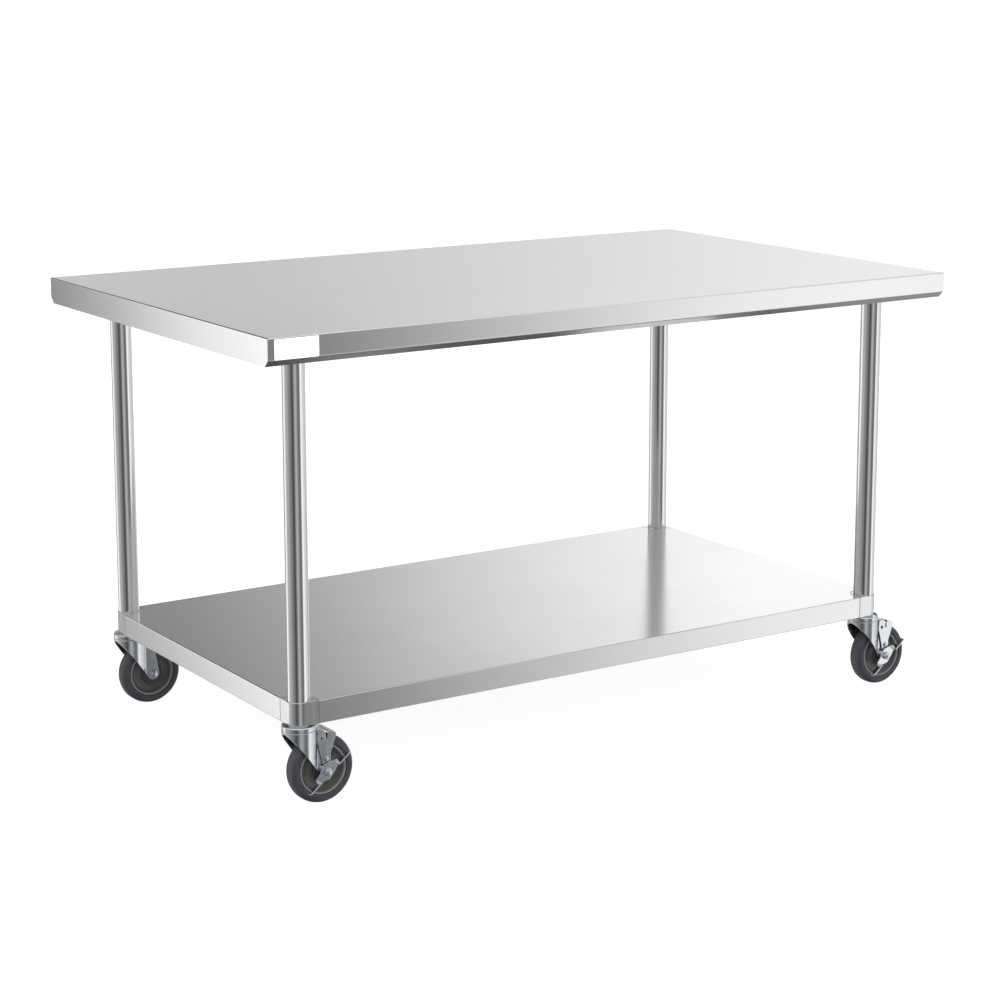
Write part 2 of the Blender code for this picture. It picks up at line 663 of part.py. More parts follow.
def make_casters():
    """Casters with their parts on two axes: the swivel, and the axle behind it."""
    raceway, sleeve = raceway_mesh(), sleeve_mesh()
    bushing, hub, tyre = bushing_mesh(), hub_mesh(), tyre_mesh()
    lever, arm, pin = lever_mesh(), arm_mesh(), pin_mesh()
    forks = {braked: fork_mesh(braked) for braked in (True, False)}
    bolts = {
        True: axle_bolt_mesh(LEVER_INNER + LEVER_SHEET + GAP),
        False: axle_bolt_mesh(FORK_HALF_WIDTH + GAP),
    }
    axle = (TRAIL, 0, WHEEL_RADIUS)
    pivot = (BRAKE_PIVOT[0], 0, BRAKE_PIVOT[1])
    for corner in CORNERS:
        braked = corner in BRAKED
        x, y = leg_place(corner)
        swivel = bpy.data.objects.new(f"swivel_axis_{corner}", None)
        swivel.location = (x, y, 0)
        PARTS.objects.link(swivel)
        add_part(f"raceway_{corner}", raceway.copy(), ZINC, swivel)
        add_part(f"stem_sleeve_{corner}", sleeve.copy(), SLEEVE_RUBBER, swivel)
        add_part(f"fork_{corner}", forks[braked].copy(), ZINC, swivel)
        add_part(f"axle_bolt_{corner}", bolts[braked].copy(), ZINC, swivel, axle)
        add_part(f"wheel_bushing_{corner}", bushing.copy(), STEEL, swivel, axle)
        add_part(f"hub_{corner}", hub.copy(), HUB_GREY, swivel, axle)
        add_part(f"tyre_{corner}", tyre.copy(), TYRE_GREY, swivel, axle)
        if braked:
            add_part(f"brake_lever_{corner}", lever.copy(), ZINC, swivel, axle)
            add_part(f"brake_arm_{corner}", arm.copy(), ZINC, swivel, pivot)
            add_part(f"brake_pin_{corner}", pin.copy(), STEEL, swivel, pivot)


make_worktop()
make_label()
make_channels()
make_legs()
make_shelf()
make_clamps()
make_casters()
bpy.context.view_layer.update()
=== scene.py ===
"""Looks of a stainless steel work table on casters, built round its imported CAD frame.

+X runs along the table, +Y to its back and +Z up.  Pieces are drawn in millimetres and turned
to metres when they are placed.  Each takes its place from the frame's nodes and rides on the
body of the node that it stands for or is fastened to.
"""

import json
import math

import bmesh
import bpy
from mathutils import Matrix, Vector


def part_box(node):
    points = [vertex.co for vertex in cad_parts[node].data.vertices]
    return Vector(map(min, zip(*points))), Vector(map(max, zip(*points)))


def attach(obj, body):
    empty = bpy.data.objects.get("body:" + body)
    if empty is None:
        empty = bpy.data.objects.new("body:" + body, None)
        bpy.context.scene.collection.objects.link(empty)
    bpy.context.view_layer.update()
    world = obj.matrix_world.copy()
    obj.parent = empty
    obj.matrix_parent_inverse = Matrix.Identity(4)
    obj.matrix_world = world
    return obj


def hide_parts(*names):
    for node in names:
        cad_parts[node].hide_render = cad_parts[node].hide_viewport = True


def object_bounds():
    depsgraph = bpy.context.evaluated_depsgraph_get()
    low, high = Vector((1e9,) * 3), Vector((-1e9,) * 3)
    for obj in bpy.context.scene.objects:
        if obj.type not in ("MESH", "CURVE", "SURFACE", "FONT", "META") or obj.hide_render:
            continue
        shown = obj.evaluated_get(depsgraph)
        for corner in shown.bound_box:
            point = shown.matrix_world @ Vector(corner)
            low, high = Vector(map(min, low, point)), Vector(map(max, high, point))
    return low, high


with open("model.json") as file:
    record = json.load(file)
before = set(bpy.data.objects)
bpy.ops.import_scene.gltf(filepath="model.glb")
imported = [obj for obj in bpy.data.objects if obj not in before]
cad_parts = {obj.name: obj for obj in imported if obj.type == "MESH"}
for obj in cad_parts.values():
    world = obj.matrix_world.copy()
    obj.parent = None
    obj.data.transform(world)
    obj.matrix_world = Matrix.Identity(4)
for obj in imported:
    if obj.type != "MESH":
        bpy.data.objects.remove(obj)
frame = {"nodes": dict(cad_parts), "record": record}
CAD_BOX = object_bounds()

MM = 0.001
GAP = 0.3  # millimetres of clearance where one part fits round another
CORNERS = {"fl": (-1, -1), "fr": (1, -1), "rl": (-1, 1), "rr": (1, 1)}
BRAKED = ("fl", "fr")
BODIES = frame["record"]["behaviour"]["bodies"]
BODY_OF = {node: body for body, nodes in BODIES.items() for node in nodes}

# Camera, on the side and at the height that the table is seen from
CAMERA_PLACE = (-2.6635, -4.0839, 1.5201)
CAMERA_HEADING = math.radians(33.378)  # from +Y towards +X
CAMERA_DIP = math.radians(10.531)
CAMERA_LENS = 89.05
CAMERA_SHIFT = (-0.012, -0.1)

# Soft panels round the studio: degrees from the front towards +X, and brightness.
# Blender's colour ramp holds 32 stops at most.
STUDIO_PANELS = (
    (-180, 0.85), (-170, 0.50), (-162, 0.18), (-156.5, 0.06), (-153.6, 1.62), (-140, 1.25),
    (-128, 0.95), (-120, 0.54), (-96, 0.52), (-84, 0.34), (-64, 0.26), (-52, 0.12), (-42, 0.08),
    (-32, 0.20), (-22, 0.50), (-13, 0.60), (-3, 0.42), (8, 0.22), (28, 0.20), (39.5, 1.36),
    (46, 1.25), (60, 0.98), (75, 0.88), (90, 0.76), (113, 0.74), (130, 0.90), (138, 0.98),
    (143, 0.86), (147, 0.78), (152, 0.70), (170, 0.75), (180, 0.85),
)
# The same higher up, where the level sheets mirror them from the camera's side
UPPER_PANELS = (
    (-180, 0.45), (-120, 0.60), (80, 0.62), (110, 1.00), (130, 1.50), (141, 1.48), (147, 1.00),
    (151, 0.58), (155, 0.30), (180, 0.45),
)
# Higher still, where mostly rounded edges mirror them
CREST_PANELS = (
    (-180, 0.05), (-150, 0.05), (-142, 0.85), (100, 0.85), (120, 0.10), (126, 0.05), (180, 0.05),
)
OVERHEAD = 1.25
UNDERFOOT = 0.16
PANEL_LEAN = 1.1  # degrees that the low panels lean over towards their feet
# Bands over which each of these takes over, as heights of a direction of length 1
UPPER_BAND = (0.17, 0.23)
CREST_BAND = (0.28, 0.41)
OVERHEAD_BAND = (0.62, 0.78)
UNDERFOOT_BAND = (-0.45, -0.9)
LEAN_BAND = (-0.15, -0.3)
BACKDROP = 1.05

# Sheet metal of the top, in millimetres like every size below
TOP_SHEET = 1.5
TOP_SKIRT = 50
TOP_FACE = 38.4
TOP_RETURN = 12
TOP_HEM = 14
TOP_BEND = 2.2
HAT_SHEET = 1.2
HAT_WEB = 84
HAT_FLANGE = 20
HAT_BEND = 2
STUD_INSET = 60

# Legs, sockets and undershelf
LEG_RADIUS = 41.275 / 2
LEG_WALL = 1.5
SHELF_SHEET = 1.2
SHELF_HEM = 14
SHELF_BEND = 1.8
CLAMP_LEG_LENGTH = 50
CLAMP_DEPTH = 28.3
CLAMP_RING = 26
CLAMP_GAP = 1.2
CLAMP_TAB_LENGTH = 34
CLAMP_TAB_HALF_WIDTH = 10
CLAMP_TAB_SHEET = 3
CLAMP_SCREW_HEIGHT = 168
SOCKET_WALL = 3.3
SOCKET_SCREW_DROP = 26
SCREW_RADIUS = 3

# Casters: distances along the floor are from the swivel axis
WHEEL_RADIUS = 63.5
TRAIL = 40
CROWN_RADIUS = 32
CROWN_TOP = 142
CUP_TOP = 148.5
STEM_RADIUS = 5.8
STEM_TOP = 190
FORK_SHEET = 2.5
FORK_HALF_WIDTH = 21.5
FORK_EYE_RADIUS = 12.5
KINGPIN_RADIUS = 6
AXLE_RADIUS = 4
HEX_RADIUS = 7.6
RIM_RADIUS = 47
RIM_HALF_WIDTH = 14.6
GUARD_RADIUS = 23.5
BALL_COUNT = 24
BALL_RADIUS = 2.1
BALL_RING = 24
BALL_LIFT = 2.45
BRAKE_PIVOT = (40.5, 86)
PIVOT_RADIUS = 3
ARM_INNER = FORK_HALF_WIDTH + 1.5
ARM_SHEET = 2
LEVER_INNER = ARM_INNER + ARM_SHEET + 2
LEVER_SHEET = 2.5
LEVER_TAB_WIDTH = 9
LEVER_TILT = math.radians(40)

STRAIGHT = 0.12  # radians of bend below which an outline's corner stays as it is
SHARP = math.radians(40)  # a larger angle between two faces keeps a hard edge


# Studio ----------------------------------------------------------------------------------

def make_camera():
    """Camera at the viewing angle, looking slightly down."""
    data = bpy.data.cameras.new("camera")
    data.lens = CAMERA_LENS
    data.shift_x, data.shift_y = CAMERA_SHIFT
    data.clip_start, data.clip_end = 0.1, 200
    camera = bpy.data.objects.new("camera", data)
    camera.location = CAMERA_PLACE
    camera.rotation_euler = (math.pi / 2 - CAMERA_DIP, 0, -CAMERA_HEADING)
    bpy.context.scene.collection.objects.link(camera)
    bpy.context.scene.camera = camera


def node_maker(tree):
    """Function that adds a shader node with its inputs set or linked by name."""
    def add(kind, settings=None, **inputs):
        node = tree.nodes.new("ShaderNode" + kind)
        for key, value in (settings or {}).items():
            setattr(node, key, value)
        for key, value in inputs.items():
            socket = node.inputs[int(key[1:])] if key[0] == "i" and key[1:].isdigit() \
                else node.inputs[key.replace("_", " ")]
            if isinstance(value, bpy.types.NodeSocket):
                tree.links.new(value, socket)
            else:
                socket.default_value = value
        return node
    return add


def panel_ramp(add, turn, panels):
    """Brightness round the studio for a turn from 0 to 1."""
    ramp = add("ValToRGB", Fac=turn)
    stops = ramp.color_ramp.elements
    while len(stops) < len(panels):
        stops.new(0.5)
    for stop, (angle, brightness) in zip(stops, panels):
        stop.position = angle / 360 + 0.5
        stop.color = (brightness, brightness, brightness, 1)
    return ramp.outputs[0]


def make_world():
    """Soft panels round the horizon, a bright ceiling, a darker ground, and a white backdrop."""
    world = bpy.data.worlds.new("studio")
    world.use_nodes = True
    tree = world.node_tree
    tree.nodes.clear()
    add = node_maker(tree)
    way = add("SeparateXYZ", Vector=add("TexCoord").outputs["Generated"]).outputs
    front = add("Math", {"operation": "MULTIPLY"}, i0=way["Y"], i1=-1.0).outputs[0]
    turn = add("Math", {"operation": "ARCTAN2"}, i0=way["X"], i1=front).outputs[0]
    turn = add("MapRange", i0=turn, From_Min=-math.pi, From_Max=math.pi).outputs[0]
    lean = add(
        "MapRange", i0=way["Z"], From_Min=LEAN_BAND[0], From_Max=LEAN_BAND[1], To_Max=-PANEL_LEAN / 360
    ).outputs[0]
    turn = add("Math", i0=turn, i1=lean).outputs[0]
    sky = panel_ramp(add, turn, STUDIO_PANELS)
    for (start, end), tone in (
        (UPPER_BAND, panel_ramp(add, turn, UPPER_PANELS)),
        (CREST_BAND, panel_ramp(add, turn, CREST_PANELS)),
        (OVERHEAD_BAND, (OVERHEAD, OVERHEAD, OVERHEAD, 1)),
        (UNDERFOOT_BAND, (UNDERFOOT, UNDERFOOT, UNDERFOOT, 1)),
    ):
        smooth = {"interpolation_type": "SMOOTHSTEP"}
        share = add("MapRange", smooth, i0=way["Z"], From_Min=start, From_Max=end).outputs[0]
        sky = add("Mix", {"data_type": "RGBA"}, i0=share, i6=sky, i7=tone).outputs[2]
    panels = add("Background", Color=sky).outputs[0]
    backdrop = add("Background", Color=(1, 1, 1, 1), Strength=BACKDROP).outputs[0]
    seen = add("LightPath").outputs["Is Camera Ray"]
    output = add("OutputWorld")
    tree.links.new(add("MixShader", i0=seen, i1=panels, i2=backdrop).outputs[0], output.inputs[0])
    bpy.context.scene.world = world


def make_floor():
    """Plain pale floor that keeps a faint contact shadow and stays out of the reflections."""
    work = bmesh.new()
    bmesh.ops.create_grid(work, x_segments=1, y_segments=1, size=40)
    mesh = bpy.data.meshes.new("floor")
    work.to_mesh(mesh)
    work.free()
    material = bpy.data.materials.new("pale_floor")
    material.use_nodes = True
    shader = material.node_tree.nodes["Principled BSDF"]
    add = node_maker(material.node_tree)
    speckle = add("TexNoise", Scale=60.0, Detail=3.0).outputs[0]
    tone = add("MapRange", i0=speckle, To_Min=0.20, To_Max=0.23).outputs[0]
    shade = add("CombineColor", Red=tone, Green=tone, Blue=tone).outputs[0]
    material.node_tree.links.new(shade, shader.inputs["Base Color"])
    shader.inputs["Roughness"].default_value = 0.9
    shader.inputs["Specular IOR Level"].default_value = 0.0
    shader.inputs["Emission Color"].default_value = (1, 1, 1, 1)
    shader.inputs["Emission Strength"].default_value = 0.92
    mesh.materials.append(material)
    floor = bpy.data.objects.new("floor", mesh)
    floor.visible_glossy = False
    bpy.context.scene.collection.objects.link(floor)


def make_lights():
    """Large soft lamps for the matt pieces; the metal mirrors the panels instead."""
    centre = sum(CAD_BOX, Vector()) / 2
    for name, place, size, power in (
        ("key", (-3.0, -3.6, 3.4), 3.0, 190),
        ("fill", (3.2, -2.4, 2.2), 2.5, 70),
        ("rear", (0.5, 3.8, 2.8), 3.0, 60),
    ):
        data = bpy.data.lights.new(name, "AREA")
        data.size = size
        data.energy = power
        lamp = bpy.data.objects.new(name, data)
        lamp.location = place
        lamp.rotation_euler = (centre - Vector(place)).to_track_quat("-Z", "Y").to_euler()
        lamp.visible_glossy = False
        lamp.visible_camera = False
        bpy.context.scene.collection.objects.link(lamp)


# Materials -------------------------------------------------------------------------------

class Finish:
    """Principled material whose colour, roughness and bump come from patterns at real scale."""

    def __init__(self, name, metallic, edge):
        self.material = bpy.data.materials.new(name)
        self.material.use_nodes = True
        self.tree = self.material.node_tree
        self.shader = self.tree.nodes["Principled BSDF"]
        self.shader.inputs["Metallic"].default_value = metallic
        self.add = node_maker(self.tree)
        self.place = self.add("TexCoord").outputs["Object"]
        self.rounded = self.add("Bevel", {"samples": 4}, Radius=edge * MM).outputs[0]

    def noise(self, scale, detail=3.0, roughness=0.55):
        """Noise at so many features a metre, given for each axis or for all."""
        scale = scale if isinstance(scale, tuple) else (scale,) * 3
        place = self.add("Mapping", Vector=self.place, Scale=scale).outputs[0]
        pattern = self.add("TexNoise", Vector=place, Scale=1.0, Detail=detail, Roughness=roughness)
        return pattern.outputs[0]

    def cells(self, scale):
        """Random value for each cell of a Voronoi pattern."""
        pattern = self.add("TexVoronoi", Vector=self.place, Scale=scale)
        return self.add("SeparateColor", Color=pattern.outputs["Color"]).outputs[0]

    def spread(self, value, low, high, start=0.3, end=0.7):
        """Value mapped from start..end to low..high."""
        return self.add(
            "MapRange", i0=value, From_Min=start, From_Max=end, To_Min=low, To_Max=high
        ).outputs[0]

    def mix(self, share, first, second):
        """Blend of two colours."""
        colours = [c if isinstance(c, bpy.types.NodeSocket) else (*c, 1) for c in (first, second)]
        blend = self.add("Mix", {"data_type": "RGBA"}, i0=share, i6=colours[0], i7=colours[1])
        return blend.outputs[2]

    def total(self, first, second, operation="ADD"):
        """Two values added, or joined by another operation."""
        return self.add("Math", {"operation": operation}, i0=first, i1=second).outputs[0]

    def wear(self):
        """From 0 on flats to 1 on edges that hands and cloths have rubbed."""
        flat = self.add("NewGeometry").outputs["Normal"]
        facing = self.add("VectorMath", {"operation": "DOT_PRODUCT"}, i0=self.rounded, i1=flat)
        return self.spread(facing.outputs["Value"], 1.0, 0.0, 0.86, 0.995)

    def reach(self):
        """Distance from a wheel's axle, in metres."""
        way = self.add("SeparateXYZ", Vector=self.place).outputs
        across = self.add("CombineXYZ", X=way["X"], Z=way["Z"]).outputs[0]
        return self.add("VectorMath", {"operation": "LENGTH"}, i0=across).outputs["Value"]

    def close(self, colour, roughness, height, depth):
        """Link the patterns to the shader; depth is the bump's height in millimetres."""
        bump = self.add("Bump", Distance=depth * MM, Height=height, Normal=self.rounded)
        for socket, value in (
            ("Base Color", colour), ("Roughness", roughness), ("Normal", bump.outputs[0])
        ):
            self.tree.links.new(value, self.shader.inputs[socket])
        return self.material


def brushed_steel(name, grain, colour, rough, edge=0.5):
    """Stainless steel, brushed along the grain axis (0, 1 or 2)."""
    finish = Finish(name, 1.0, edge)
    fine = finish.noise(tuple(6.0 if axis == grain else 1500.0 for axis in range(3)), 2.0)
    streaks = finish.noise(tuple(1.5 if axis == grain else 130.0 for axis in range(3)), 4.0, 0.6)
    smudges = finish.noise(5.0, 4.0)
    worn = finish.wear()
    pale = tuple(part * 1.012 for part in colour)
    dull = tuple(part * 0.988 for part in colour)
    tone = finish.mix(finish.spread(streaks, 0.0, 1.0), dull, pale)
    tone = finish.mix(finish.total(worn, 0.5, "MULTIPLY"), tone, (0.86, 0.86, 0.85))
    gloss = finish.spread(smudges, rough - 0.008, rough + 0.008)
    gloss = finish.total(finish.spread(streaks, -0.008, 0.008), gloss)
    gloss = finish.total(gloss, finish.spread(fine, -0.01, 0.01))
    gloss = finish.total(gloss, finish.total(worn, -0.07, "MULTIPLY"))
    return finish.close(tone, gloss, fine, 0.0015)


def galvanised_sheet():
    """Galvanised steel: a spangle of flat crystals, with dull patches."""
    finish = Finish("galvanised_sheet", 1.0, 0.4)
    crystals = finish.cells(110.0)
    patches = finish.noise(14.0, 4.0)
    tone = finish.mix(crystals, (0.50, 0.52, 0.54), (0.66, 0.68, 0.70))
    tone = finish.mix(finish.spread(patches, 0.0, 0.35), tone, (0.44, 0.45, 0.46))
    gloss = finish.spread(crystals, 0.34, 0.50, 0.0, 1.0)
    gloss = finish.total(gloss, finish.spread(patches, -0.03, 0.05))
    return finish.close(tone, gloss, crystals, 0.01)


def cast_metal():
    """Polished cast clamp: a faint sand texture, brighter on its edges."""
    finish = Finish("satin_casting", 1.0, 0.9)
    sand = finish.noise(700.0, 3.0, 0.5)
    drag = finish.noise((90.0, 90.0, 12.0), 3.0)
    tone = finish.mix(finish.spread(drag, 0.0, 1.0), (0.645, 0.645, 0.65), (0.68, 0.68, 0.685))
    tone = finish.mix(finish.total(finish.wear(), 0.4, "MULTIPLY"), tone, (0.82, 0.82, 0.81))
    gloss = finish.total(finish.spread(drag, 0.16, 0.20), finish.spread(sand, -0.01, 0.01))
    return finish.close(tone, gloss, sand, 0.002)


def zinc_plate(name, rough):
    """Bright zinc plate: a blue cast that drifts to straw, with rubbed edges."""
    finish = Finish(name, 1.0, 0.6)
    drift = finish.noise(45.0, 3.0)
    rolled = finish.noise((700.0, 700.0, 60.0), 3.0, 0.6)
    tone = finish.mix(finish.spread(drift, 0.0, 1.0), (0.60, 0.65, 0.72), (0.70, 0.71, 0.71))
    tone = finish.mix(finish.spread(rolled, 0.0, 0.2), tone, (0.42, 0.45, 0.50))
    tone = finish.mix(finish.total(finish.wear(), 0.6, "MULTIPLY"), tone, (0.84, 0.86, 0.90))
    gloss = finish.spread(rolled, rough - 0.04, rough + 0.04)
    gloss = finish.total(gloss, finish.spread(drift, -0.02, 0.04))
    return finish.close(tone, gloss, rolled, 0.006)


def plain_steel():
    """Turned steel of the screws, pins and bushings, with a thin film of oil."""
    finish = Finish("turned_steel", 1.0, 0.25)
    tooling = finish.noise((1800.0, 1800.0, 1800.0), 2.0)
    film = finish.noise(70.0, 4.0)
    tone = finish.mix(finish.spread(film, 0.0, 1.0), (0.40, 0.40, 0.41), (0.58, 0.58, 0.58))
    gloss = finish.total(finish.spread(film, 0.22, 0.36), finish.spread(tooling, -0.03, 0.03))
    return finish.close(tone, gloss, tooling, 0.004)


def tyre_rubber():
    """Dark grey rubber: a dusty bloom, and scuffs where the tread meets the floor."""
    finish = Finish("tyre_rubber", 0.0, 0.8)
    grit = finish.noise(1100.0, 4.0, 0.7)
    bloom = finish.noise(38.0, 4.0)
    tread = finish.spread(finish.reach(), 0.0, 1.0, (WHEEL_RADIUS - 3) * MM, (WHEEL_RADIUS - 0.6) * MM)
    scuffs = finish.spread(finish.noise((160.0, 700.0, 160.0), 4.0), 0.1, 0.8)
    scuffs = finish.total(tread, scuffs, "MULTIPLY")
    tone = finish.mix(finish.spread(bloom, 0.0, 1.0), (0.020, 0.020, 0.028), (0.030, 0.030, 0.040))
    tone = finish.mix(scuffs, tone, (0.062, 0.061, 0.070))
    gloss = finish.total(finish.spread(bloom, 0.42, 0.52), finish.total(scuffs, 0.25, "MULTIPLY"))
    return finish.close(tone, gloss, grit, 0.03)


def moulded_plastic(name, dark, pale, edge_colour, rough):
    """Moulded plastic with a fine mould texture and paler, rubbed edges."""
    finish = Finish(name, 0.0, 0.6)
    texture = finish.noise(1000.0, 3.0, 0.6)
    flow = finish.noise(60.0, 3.0)
    tone = finish.mix(finish.spread(flow, 0.0, 1.0), dark, pale)
    tone = finish.mix(finish.total(finish.wear(), 0.6, "MULTIPLY"), tone, edge_colour)
    gloss = finish.spread(flow, rough - 0.04, rough + 0.04)
    gloss = finish.total(gloss, finish.spread(texture, -0.04, 0.04))
    return finish.close(tone, gloss, texture, 0.03)


def hub_plastic():
    """Moulded grey hub: painted light makes its rim ring pale, and its recessed dish stays darker as
    painted shade.
    """
    finish = Finish("hub_plastic", 0.0, 0.6)
    texture = finish.noise(1000.0, 3.0, 0.6)
    flow = finish.noise(60.0, 3.0)
    tone = finish.mix(finish.spread(flow, 0.0, 1.0), (0.044, 0.044, 0.041), (0.056, 0.056, 0.052))
    # Painted light: the rim ring is painted about three times paler than the recessed dish, which
    # keeps the dark tone as painted shade.
    rim = finish.spread(finish.reach(), 0.0, 1.0, (RIM_RADIUS - 5.6) * MM, (RIM_RADIUS - 4.2) * MM)
    rim = finish.total(rim, finish.spread(flow, 0.7, 1.0), "MULTIPLY")
    tone = finish.mix(rim, tone, (0.150, 0.148, 0.138))
    tone = finish.mix(finish.total(finish.wear(), 0.4, "MULTIPLY"), tone, (0.17, 0.17, 0.155))
    gloss = finish.total(finish.spread(flow, 0.34, 0.42), finish.spread(texture, -0.04, 0.04))
    return finish.close(tone, gloss, texture, 0.03)


def label_vinyl():
    """Blank white vinyl label, faintly uneven where it is stuck down."""
    finish = Finish("label_vinyl", 0.0, 0.2)
    ripple = finish.noise(90.0, 2.0)
    fibre = finish.noise(900.0, 3.0)
    tone = finish.mix(finish.spread(fibre, 0.0, 1.0), (0.90, 0.90, 0.90), (0.95, 0.95, 0.95))
    gloss = finish.total(finish.spread(ripple, 0.30, 0.40), finish.spread(fibre, -0.02, 0.02))
    return finish.close(tone, gloss, ripple, 0.02)


TOP_STEEL = brushed_steel("top_steel", 0, (0.70, 0.70, 0.70), 0.15)
SHELF_STEEL = brushed_steel("shelf_steel", 0, (0.70, 0.70, 0.70), 0.17)
TUBE_STEEL = brushed_steel("tube_steel", 2, (0.72, 0.72, 0.72), 0.12)
SOCKET_STEEL = brushed_steel("socket_steel", 2, (0.62, 0.62, 0.61), 0.3)
GALVANISED = galvanised_sheet()
CASTING = cast_metal()
ZINC = zinc_plate("zinc_pressing", 0.19)
ZINC_DULL = zinc_plate("zinc_stamping", 0.16)
STEEL = plain_steel()
RUBBER = tyre_rubber()
HUB_PLASTIC = hub_plastic()
GUARD_PLASTIC = moulded_plastic(
    "guard_plastic", (0.014, 0.013, 0.019), (0.020, 0.019, 0.026), (0.05, 0.05, 0.06), 0.4
)
SLEEVE_RUBBER = moulded_plastic(
    "sleeve_rubber", (0.020, 0.020, 0.020), (0.032, 0.032, 0.032), (0.05, 0.05, 0.05), 0.7
)
VINYL = label_vinyl()


# Mesh tools ------------------------------------------------------------------------------

TURN_TO = {
    "X": Matrix(((0, 0, 1), (1, 0, 0), (0, 1, 0))).to_4x4(),  # outline in YZ, pulled along X
    "Y": Matrix(((1, 0, 0), (0, 0, -1), (0, 1, 0))).to_4x4(),  # outline in XZ, pulled along -Y
    "Z": Matrix.Identity(4),
}


def ingredient(data):
    """Object for a mesh or curve that is only an ingredient of a piece."""
    obj = bpy.data.objects.new("ingredient", data)
    bpy.context.scene.collection.objects.link(obj)
    return obj


def evaluated(obj):
    """Mesh of an ingredient with its modifiers applied; the ingredient is removed."""
    graph = bpy.context.evaluated_depsgraph_get()
    mesh = bpy.data.meshes.new_from_object(obj.evaluated_get(graph))
    bpy.data.objects.remove(obj)
    return mesh


def from_bmesh(work):
    """Mesh from a bmesh, its seams welded and its faces turned outwards."""
    bmesh.ops.remove_doubles(work, verts=work.verts, dist=0.001)
    bmesh.ops.recalc_face_normals(work, faces=work.faces)
    mesh = bpy.data.meshes.new("shape")
    work.to_mesh(mesh)
    work.free()
    return mesh


def welded(mesh):
    """The mesh with its seams welded and its faces turned outwards."""
    work = bmesh.new()
    work.from_mesh(mesh)
    return from_bmesh(work)


def arc(centre, radius, start, end, steps):
    """Points along an arc, both ends included; angles in degrees."""
    angles = [math.radians(start + (end - start) * i / steps) for i in range(steps + 1)]
    return [(centre[0] + radius * math.cos(a), centre[1] + radius * math.sin(a)) for a in angles]


def circle(centre, radius, steps):
    """Points round a circle."""
    return arc(centre, radius, 0, 360, steps)[:-1]


def softened(points, radius, steps=4, closed=True):
    """Outline or profile with its corners rounded, less where a side is short."""
    count = len(points)
    result = []
    for i, point in enumerate(points):
        if not closed and i in (0, count - 1):
            result.append(tuple(point))
            continue
        here = Vector(point)
        before = Vector(points[i - 1]) - here
        after = Vector(points[(i + 1) % count]) - here
        bend = before.angle(after)
        if math.pi - bend < STRAIGHT:
            result.append(tuple(point))
            continue
        reach = min(radius / math.tan(bend / 2), before.length * 0.49, after.length * 0.49)
        start, end = here + before.normalized() * reach, here + after.normalized() * reach
        for k in range(steps + 1):
            t = k / steps
            result.append(tuple(start * (1 - t) ** 2 + here * (2 * t * (1 - t)) + end * t * t))
    return result


def box(low, high):
    """Box between two corners, as a cutter."""
    work = bmesh.new()
    size = [b - a for a, b in zip(low, high)]
    middle = [(a + b) / 2 for a, b in zip(low, high)]
    place = Matrix.Translation(middle) @ Matrix.Diagonal((*size, 1))
    bmesh.ops.create_cube(work, size=1, matrix=place)
    return from_bmesh(work)


def prism(axis, low, high, outline):
    """Outline pulled along an axis from low to high, with square rims."""
    work = bmesh.new()
    if axis == "Y":
        low, high = -high, -low
    rings = []
    for height in (low, high):
        rings.append([work.verts.new(TURN_TO[axis] @ Vector((u, v, height))) for u, v in outline])
    work.faces.new(rings[0])
    work.faces.new(rings[1])
    for i in range(len(outline)):
        j = (i + 1) % len(outline)
        work.faces.new((rings[0][i], rings[0][j], rings[1][j], rings[1][i]))
    return from_bmesh(work)


def stamped(axis, low, high, outline, holes=(), rim=0.4):
    """Plate with holes and rounded rims, pulled along an axis from low to high."""
    curve = bpy.data.curves.new("outline", "CURVE")
    curve.dimensions = "2D"
    curve.fill_mode = "BOTH"
    curve.extrude = (high - low) / 2 - rim
    curve.bevel_depth = rim
    curve.bevel_resolution = 2
    curve.offset = -rim
    for points in (outline, *holes):
        spline = curve.splines.new("POLY")
        spline.points.add(len(points) - 1)
        for point, (across, up) in zip(spline.points, points):
            point.co = (across, up, 0, 1)
        spline.use_cyclic_u = True
    mesh = evaluated(ingredient(curve))
    bpy.data.curves.remove(curve)
    middle = (low + high) / 2
    if axis == "Y":
        middle = -middle
    mesh.transform(TURN_TO[axis] @ Matrix.Translation((0, 0, middle)))
    return welded(mesh)


def lathe(profile, steps, loop=False):
    """(radius, height) profile turned about Z; loop closes it on itself."""
    work = bmesh.new()
    rings = []
    for radius, height in profile:
        if radius < 1e-6:
            rings.append([work.verts.new((0, 0, height))] * steps)
            continue
        turns = [2 * math.pi * k / steps for k in range(steps)]
        rings.append([
            work.verts.new((radius * math.cos(a), radius * math.sin(a), height)) for a in turns
        ])
    pairs = list(zip(rings, rings[1:]))
    if loop:
        pairs.append((rings[-1], rings[0]))
    for first, second in pairs:
        for k in range(steps):
            following = (k + 1) % steps
            corners = [first[k], first[following], second[following], second[k]]
            corners = [c for i, c in enumerate(corners) if c not in corners[:i]]
            if len(corners) > 2:
                work.faces.new(corners)
    return from_bmesh(work)


def rod(axis, radius, low, high, at=(0, 0), sides=48):
    """Cylinder along an axis, as a cutter; at is its centre in the plane across the axis."""
    return prism(axis, low, high, circle(at, radius, sides))


def combined(operation, base, *others):
    """Exact Boolean of the base mesh with each of the others."""
    obj = ingredient(base)
    tools = [ingredient(mesh) for mesh in others]
    for tool in tools:
        modifier = obj.modifiers.new("boolean", "BOOLEAN")
        modifier.operation = operation
        modifier.solver = "EXACT"
        modifier.object = tool
    mesh = evaluated(obj)
    for tool in tools:
        bpy.data.objects.remove(tool)
    return welded(mesh)


def joined(*meshes):
    """Several closed bodies in one mesh."""
    work = bmesh.new()
    for mesh in meshes:
        work.from_mesh(mesh)
    mesh = bpy.data.meshes.new("shape")
    work.to_mesh(mesh)
    work.free()
    return mesh


